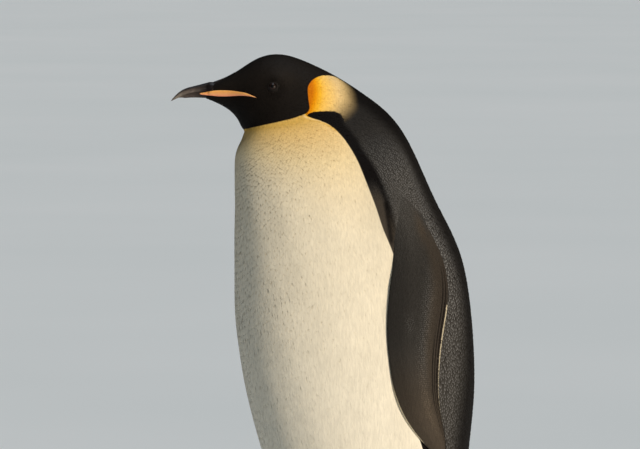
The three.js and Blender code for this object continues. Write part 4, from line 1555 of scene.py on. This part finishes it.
def on_bare_side(points):
    """Whether places lie on a coloured plate, or on the bare side of the upper bill above it."""
    x, y, z = head_turn(points, 0, -HEAD_TURN).T
    on_plate = (y < PLATE["run"][-1][0]) & (np.abs(z - plate_middle(y)) <= 0.95 * (plate_half(y) + 0.25))
    ahead = BARE_SIDE["end"] - y
    low, high = BARE_SIDE["edges"]
    on_horn = (ahead > 0) & (z > low) & (z < high + BARE_SIDE["rise"] * ahead)
    return (on_plate | on_horn) & (np.abs(x) > 4)


def on_culmen(u, v):
    """Whether a place lies on the bare ridge of the bill."""
    share = np.clip(u / CULMEN["end"], 0, 1)
    return (u < CULMEN["end"]) & (180 - fold(v) < mix(*CULMEN["bare"], share))


SIDE_ANGLE = 100  # degrees round from the front at which the coat's front pieces end
BODY_COATS = [  # name, slot, first and last station, and first and last degrees round
    ("coat_head", "head_feathers", 0, HEAD_END, 0, 180),
    ("coat_neck", "neck_feathers", HEAD_END, NECK_END, 0, 180),
    ("coat_breast", "belly_feathers", NECK_END, 15, 0, SIDE_ANGLE),
    ("coat_mantle", "back_feathers", NECK_END, 15, SIDE_ANGLE, 180),
    ("coat_belly", "belly_feathers", 15, 19.5, 0, SIDE_ANGLE),
    ("coat_back", "back_feathers", 15, 19.5, SIDE_ANGLE, 180),
    ("coat_vent", "belly_feathers", 19.5, BODY_END, 0, SIDE_ANGLE),
    ("coat_rump", "back_feathers", 19.5, BODY_END, SIDE_ANGLE, 180),
]


def body_coat():
    u, v = seeds_of(body_sheet, body_along, body_across, "body")
    points = body_sheet.at(u, v)
    eye = from_eye(points)
    kept = (eye > BARE_ROUND_EYE) & ~on_culmen(u, v) & ~on_bare_side(points)
    u, v, eye = u[kept], v[kept], eye[kept]
    a = fold(v)
    belly = on_belly(u, v)
    size = mix(0.62, 1, smooth(BARE_ROUND_EYE, 22, eye)) * feather_size(u, v)
    length, width = size * mix(2.1, 4.3, belly), size * mix(1.2, 0.86, belly)
    sleek = mix(0.25, 1, is_light(u, v)) * smooth(3, 7, u)
    for name, slot, first, last, front, rear in BODY_COATS:
        some = (u >= first) & ((u < last) | (last == BODY_END)) & (a >= front) & ((a < rear) | (rear == 180))
        chosen = (values[some] for values in (u, v, length, width, coat_depth(u)))
        made = vanes(name, body_sheet, *chosen, body_marks, sleek[some])
        finished(made, plumage, slot)


def flipper_along(u, v):
    """The pitch of the rows of the flipper's scaly feathers, which are coarser on its white inside."""
    inside = smooth(-0.1, -0.3, around_blade(v)[1])
    return mix(3.4, mix(2.9, 4.6, inside), smooth(0.1, 0.3, u))


def flipper_across(u, v):
    return flipper_along(u, v) * 0.78


def flipper_coat():
    for which, sheet in flipper_sheets.items():
        u, v = seeds_of(sheet, flipper_along, flipper_across, "flipper_" + which, 0.06)
        pitch = flipper_along(u, v)
        sizes = pitch * 2.0, pitch * 1.05, np.full(len(u), 0.9)
        made = vanes("coat_flipper_" + which, sheet, u, v, *sizes, flipper_marks, 0.4)
        finished(made, plumage, "back_feathers")


def plain_marks(v, dark, slate, warm, brown, pale):
    return {key: value + 0 * v for key, value in zip(MARKS, (dark, slate, warm, brown, pale))}


def leg_marks(u, v):
    """Dark behind, down the outer side and at the ankle, and white in front."""
    behind = smooth(85, 120, fold(v + 0.02))
    outer = smooth(0.5, 0.95, np.sin(2 * np.pi * v)) * smooth(0.3, 0.8, u)
    dark = smooth(0.35, 0.65, np.maximum.reduce([behind, outer, smooth(0.86, 0.96, u)]))
    return plain_marks(v, dark, 0.25, 0.05, 0.5, 0.5)


def tail_marks(u, v):
    return plain_marks(v, 1.5, 0.2, 0, 0.3, 0.6)


def even_coat(name, sheet, own, pitches, sizes, marks, slot, up_to=1.0):
    """A coat of feathers of one length, width and depth, at even pitches along and across."""
    u, v = seeds_of(sheet, lambda u, v: pitches[0] + 0 * u, lambda u, v: pitches[1] + 0 * u, own)
    u, v = u[u <= up_to], v[u <= up_to]
    length, width, depth = (np.full(len(u), float(size)) for size in sizes)
    finished(vanes(name, sheet, u, v, length, width, depth, marks), plumage, slot)


QUILL_LAYERS = ((11, 0.6), (10, 0.1))  # how many quills, and how high they stand on the tail in millimetres
QUILL_ROWS = 14
QUILL_HALF_WIDTH = 5.6  # mm
QUILL_FAN = 0.92  # the share of the tail's width that they spread over
QUILL_MARKS = {"dark": 1.0, "slate": 0.25, "warm": 0.0, "brown": 0.4, "pale": 0.5}


def quill(layer, spread, v, rise):
    """The points, faces and pale spot of a closed blade with a shaft along its middle.

    spread: from -1 to 1 over the fan of quills.
    """
    share = np.linspace(0.0, 1, QUILL_ROWS)
    u = mix(0.42 + 0.06 * layer, 0.985 - 0.03 * abs(spread) - 0.02 * layer, share)
    half = QUILL_HALF_WIDTH * rounded(share, 0.08, 0.05) * rounded(1 - share, 0.1, 0.06)
    per_v = tail_sheet.scales(u, np.full(QUILL_ROWS, v))[1]
    edges = ((-1, 0.0), (0, 0.75), (1, 0.0), (0, -0.5))
    ring = np.stack([
        tail_sheet.at(u, v + across * half / per_v, np.full(QUILL_ROWS, rise + height - 0.4))
        for across, height in edges
    ], 1)
    points = np.concatenate([ring.reshape(-1, 3), ring[[0, -1]].mean(1)])
    spot = np.append(np.repeat(share**4, len(edges)), [0, 1])
    return points, outward(points, ring_faces(QUILL_ROWS, len(edges))), spot


def quills():
    """The stiff tail feathers, in two layers above the tail and two below."""
    points, faces, spots, shades, uvs = [], [], [], [], []
    offset = 0
    for layer, (count, rise) in enumerate(QUILL_LAYERS):
        for spread in (np.arange(count) + 0.5) / count * 2 - 1:
            for middle, way in ((0.5, 1), (0.0, -1)):  # above the tail, then below it
                v = middle + way * 0.25 * spread * QUILL_FAN
                found, corners, spot = quill(layer, spread, v, rise)
                number = len(found)
                points.append(found)
                faces.append(corners + offset)
                spots.append(spot)
                shades.append(np.full(number, rng.random()))
                patch = np.linspace(0, PATCH, number)[:, None]
                uvs.append(0.5 + np.array([v - 0.25, 0.2]) * 0.5 + patch)
                offset += number
    marks = {key: np.full(offset, value) for key, value in QUILL_MARKS.items()}
    marks |= {"rand": np.concatenate(shades), "spot": np.concatenate(spots)}
    found = (np.concatenate(values) for values in (points, faces))
    finished(mesh_object("coat_quills", *found, marks, np.concatenate(uvs)), plumage, "back_feathers")


body_coat()
flipper_coat()
for which, sheet in leg_sheets.items():
    name = "leg_" + which
    even_coat("coat_" + name, sheet, name, (3.6, 2.8), (9.5, 4.0, 2.5), leg_marks, "leg_feathers")
even_coat("coat_tail", tail_sheet, "tail", (5.0, 3.8), (13, 5.4, 2.2), tail_marks, "back_feathers", 0.8)
quills()

eye_material, plate_material = eye_look(), plate_look()
for side, which in ((keep, "left"), (mirror_in_head, "right")):
    eyeball = eye_ball("eyeball_" + which, EYE["radius"], side, cornea=0.25)
    finished(eyeball, eye_material, "eye", "eye_" + which)
    plate_piece(side, "horn_plate_" + which, plate_material)
horn_material = horn_look()
bill_pieces(horn_material)
culmen_tongue(horn_material)
claw_pieces(claw_look())

sockets = [eye_ball("socket", EYE["radius"] + 0.15, side) for side in (keep, mirror_in_head)]
additions = [parts[name] for name in parts if name != "body"]
additions += [foot_solid(keep), foot_solid(mirror), lid(keep), lid(mirror_in_head)]
skin = unite(parts["body"], additions, sockets)
marked_sheets = [(body_sheet, body_marks)]
marked_sheets += [(sheet, flipper_marks) for sheet in flipper_sheets.values()]
marked_sheets += [(sheet, leg_marks) for sheet in leg_sheets.values()]
mark_skin(skin, marked_sheets + [(tail_sheet, tail_marks)])
FLESH = ["head", "neck", "trunk", "tail"]
FLESH += [f"{part}_{which}" for part in ("flipper", "leg", "foot") for which in SIDES]
finished(skin, skin_material, "belly_feathers", *FLESH)


# ---------- floor, light and camera ----------
# degrees round and up; metres off, and to the right of and above the bird's own zero; the lens in mm
CAMERA = {"azimuth": 75, "elevation": 4, "distance": 8.0, "aside": -0.0486, "height": 0.7576, "lens": 314.69}
SUNS = [  # name, degrees round from the camera and up, strength, colour, and softness in degrees
    ("key", 38, 9, 3.0, (1.0, 0.87, 0.71), 16),
    ("top", 0, 88, 1.75, (0.82, 0.91, 1.0), 20),
]
SKY = {"Color": (0.5, 0.59, 0.7, 1), "Strength": 0.02}


def floor():
    mesh = bpy.data.meshes.new("floor")
    far = 60.0
    corners = [(-far, -far, 0), (far, -far, 0), (far, far, 0), (-far, far, 0)]
    mesh.from_pydata(corners, [], [(0, 1, 2, 3)])
    made = linked(bpy.data.objects.new("floor", mesh))
    look = Look("floor", Roughness=0.9)
    look.colour(look.ramp(look.noise(0.6, 2), (0.3, rgb(231, 232, 229)), (0.7, rgb(235, 235, 232))))
    mesh.materials.append(look.material)


def towards(azimuth, elevation):
    """The direction at an azimuth, from 0 at the bird's front to 90 at its left, and a height, in degrees."""
    a, e = math.radians(azimuth), math.radians(elevation)
    return Vector((math.sin(a) * math.cos(e), -math.cos(a) * math.cos(e), math.sin(e)))


def sun(name, azimuth, elevation, strength, colour, softness):
    data = bpy.data.lights.new(name, "SUN")
    data.energy, data.color, data.angle = strength, colour, math.radians(softness)
    made = linked(bpy.data.objects.new(name, data))
    made.rotation_mode = "QUATERNION"
    made.rotation_quaternion = towards(azimuth, elevation).to_track_quat("Z", "Y")


def studio():
    for name, aside, *rest in SUNS:
        sun(name, CAMERA["azimuth"] + aside, *rest)
    world = bpy.data.worlds.new("studio")
    world.use_nodes = True
    background = world.node_tree.nodes["Background"]
    for key, value in SKY.items():
        background.inputs[key].default_value = value
    bpy.context.scene.world = world
    bpy.context.scene.view_settings.view_transform = "Standard"


def camera():
    azimuth = math.radians(CAMERA["azimuth"])
    right = Vector((math.cos(azimuth), math.sin(azimuth), 0))
    back = towards(CAMERA["azimuth"], CAMERA["elevation"])
    target = Vector(SHIFT) + right * CAMERA["aside"] + Vector((0, 0, CAMERA["height"]))
    data = bpy.data.cameras.new("camera")
    data.sensor_width, data.lens = 36, CAMERA["lens"]
    data.clip_start, data.clip_end = 0.1, 200
    made = linked(bpy.data.objects.new("camera", data))
    made.location = target + back * CAMERA["distance"]
    made.rotation_mode = "QUATERNION"
    made.rotation_quaternion = back.to_track_quat("Z", "Y")
    bpy.context.scene.camera = made


floor()
studio()
camera()
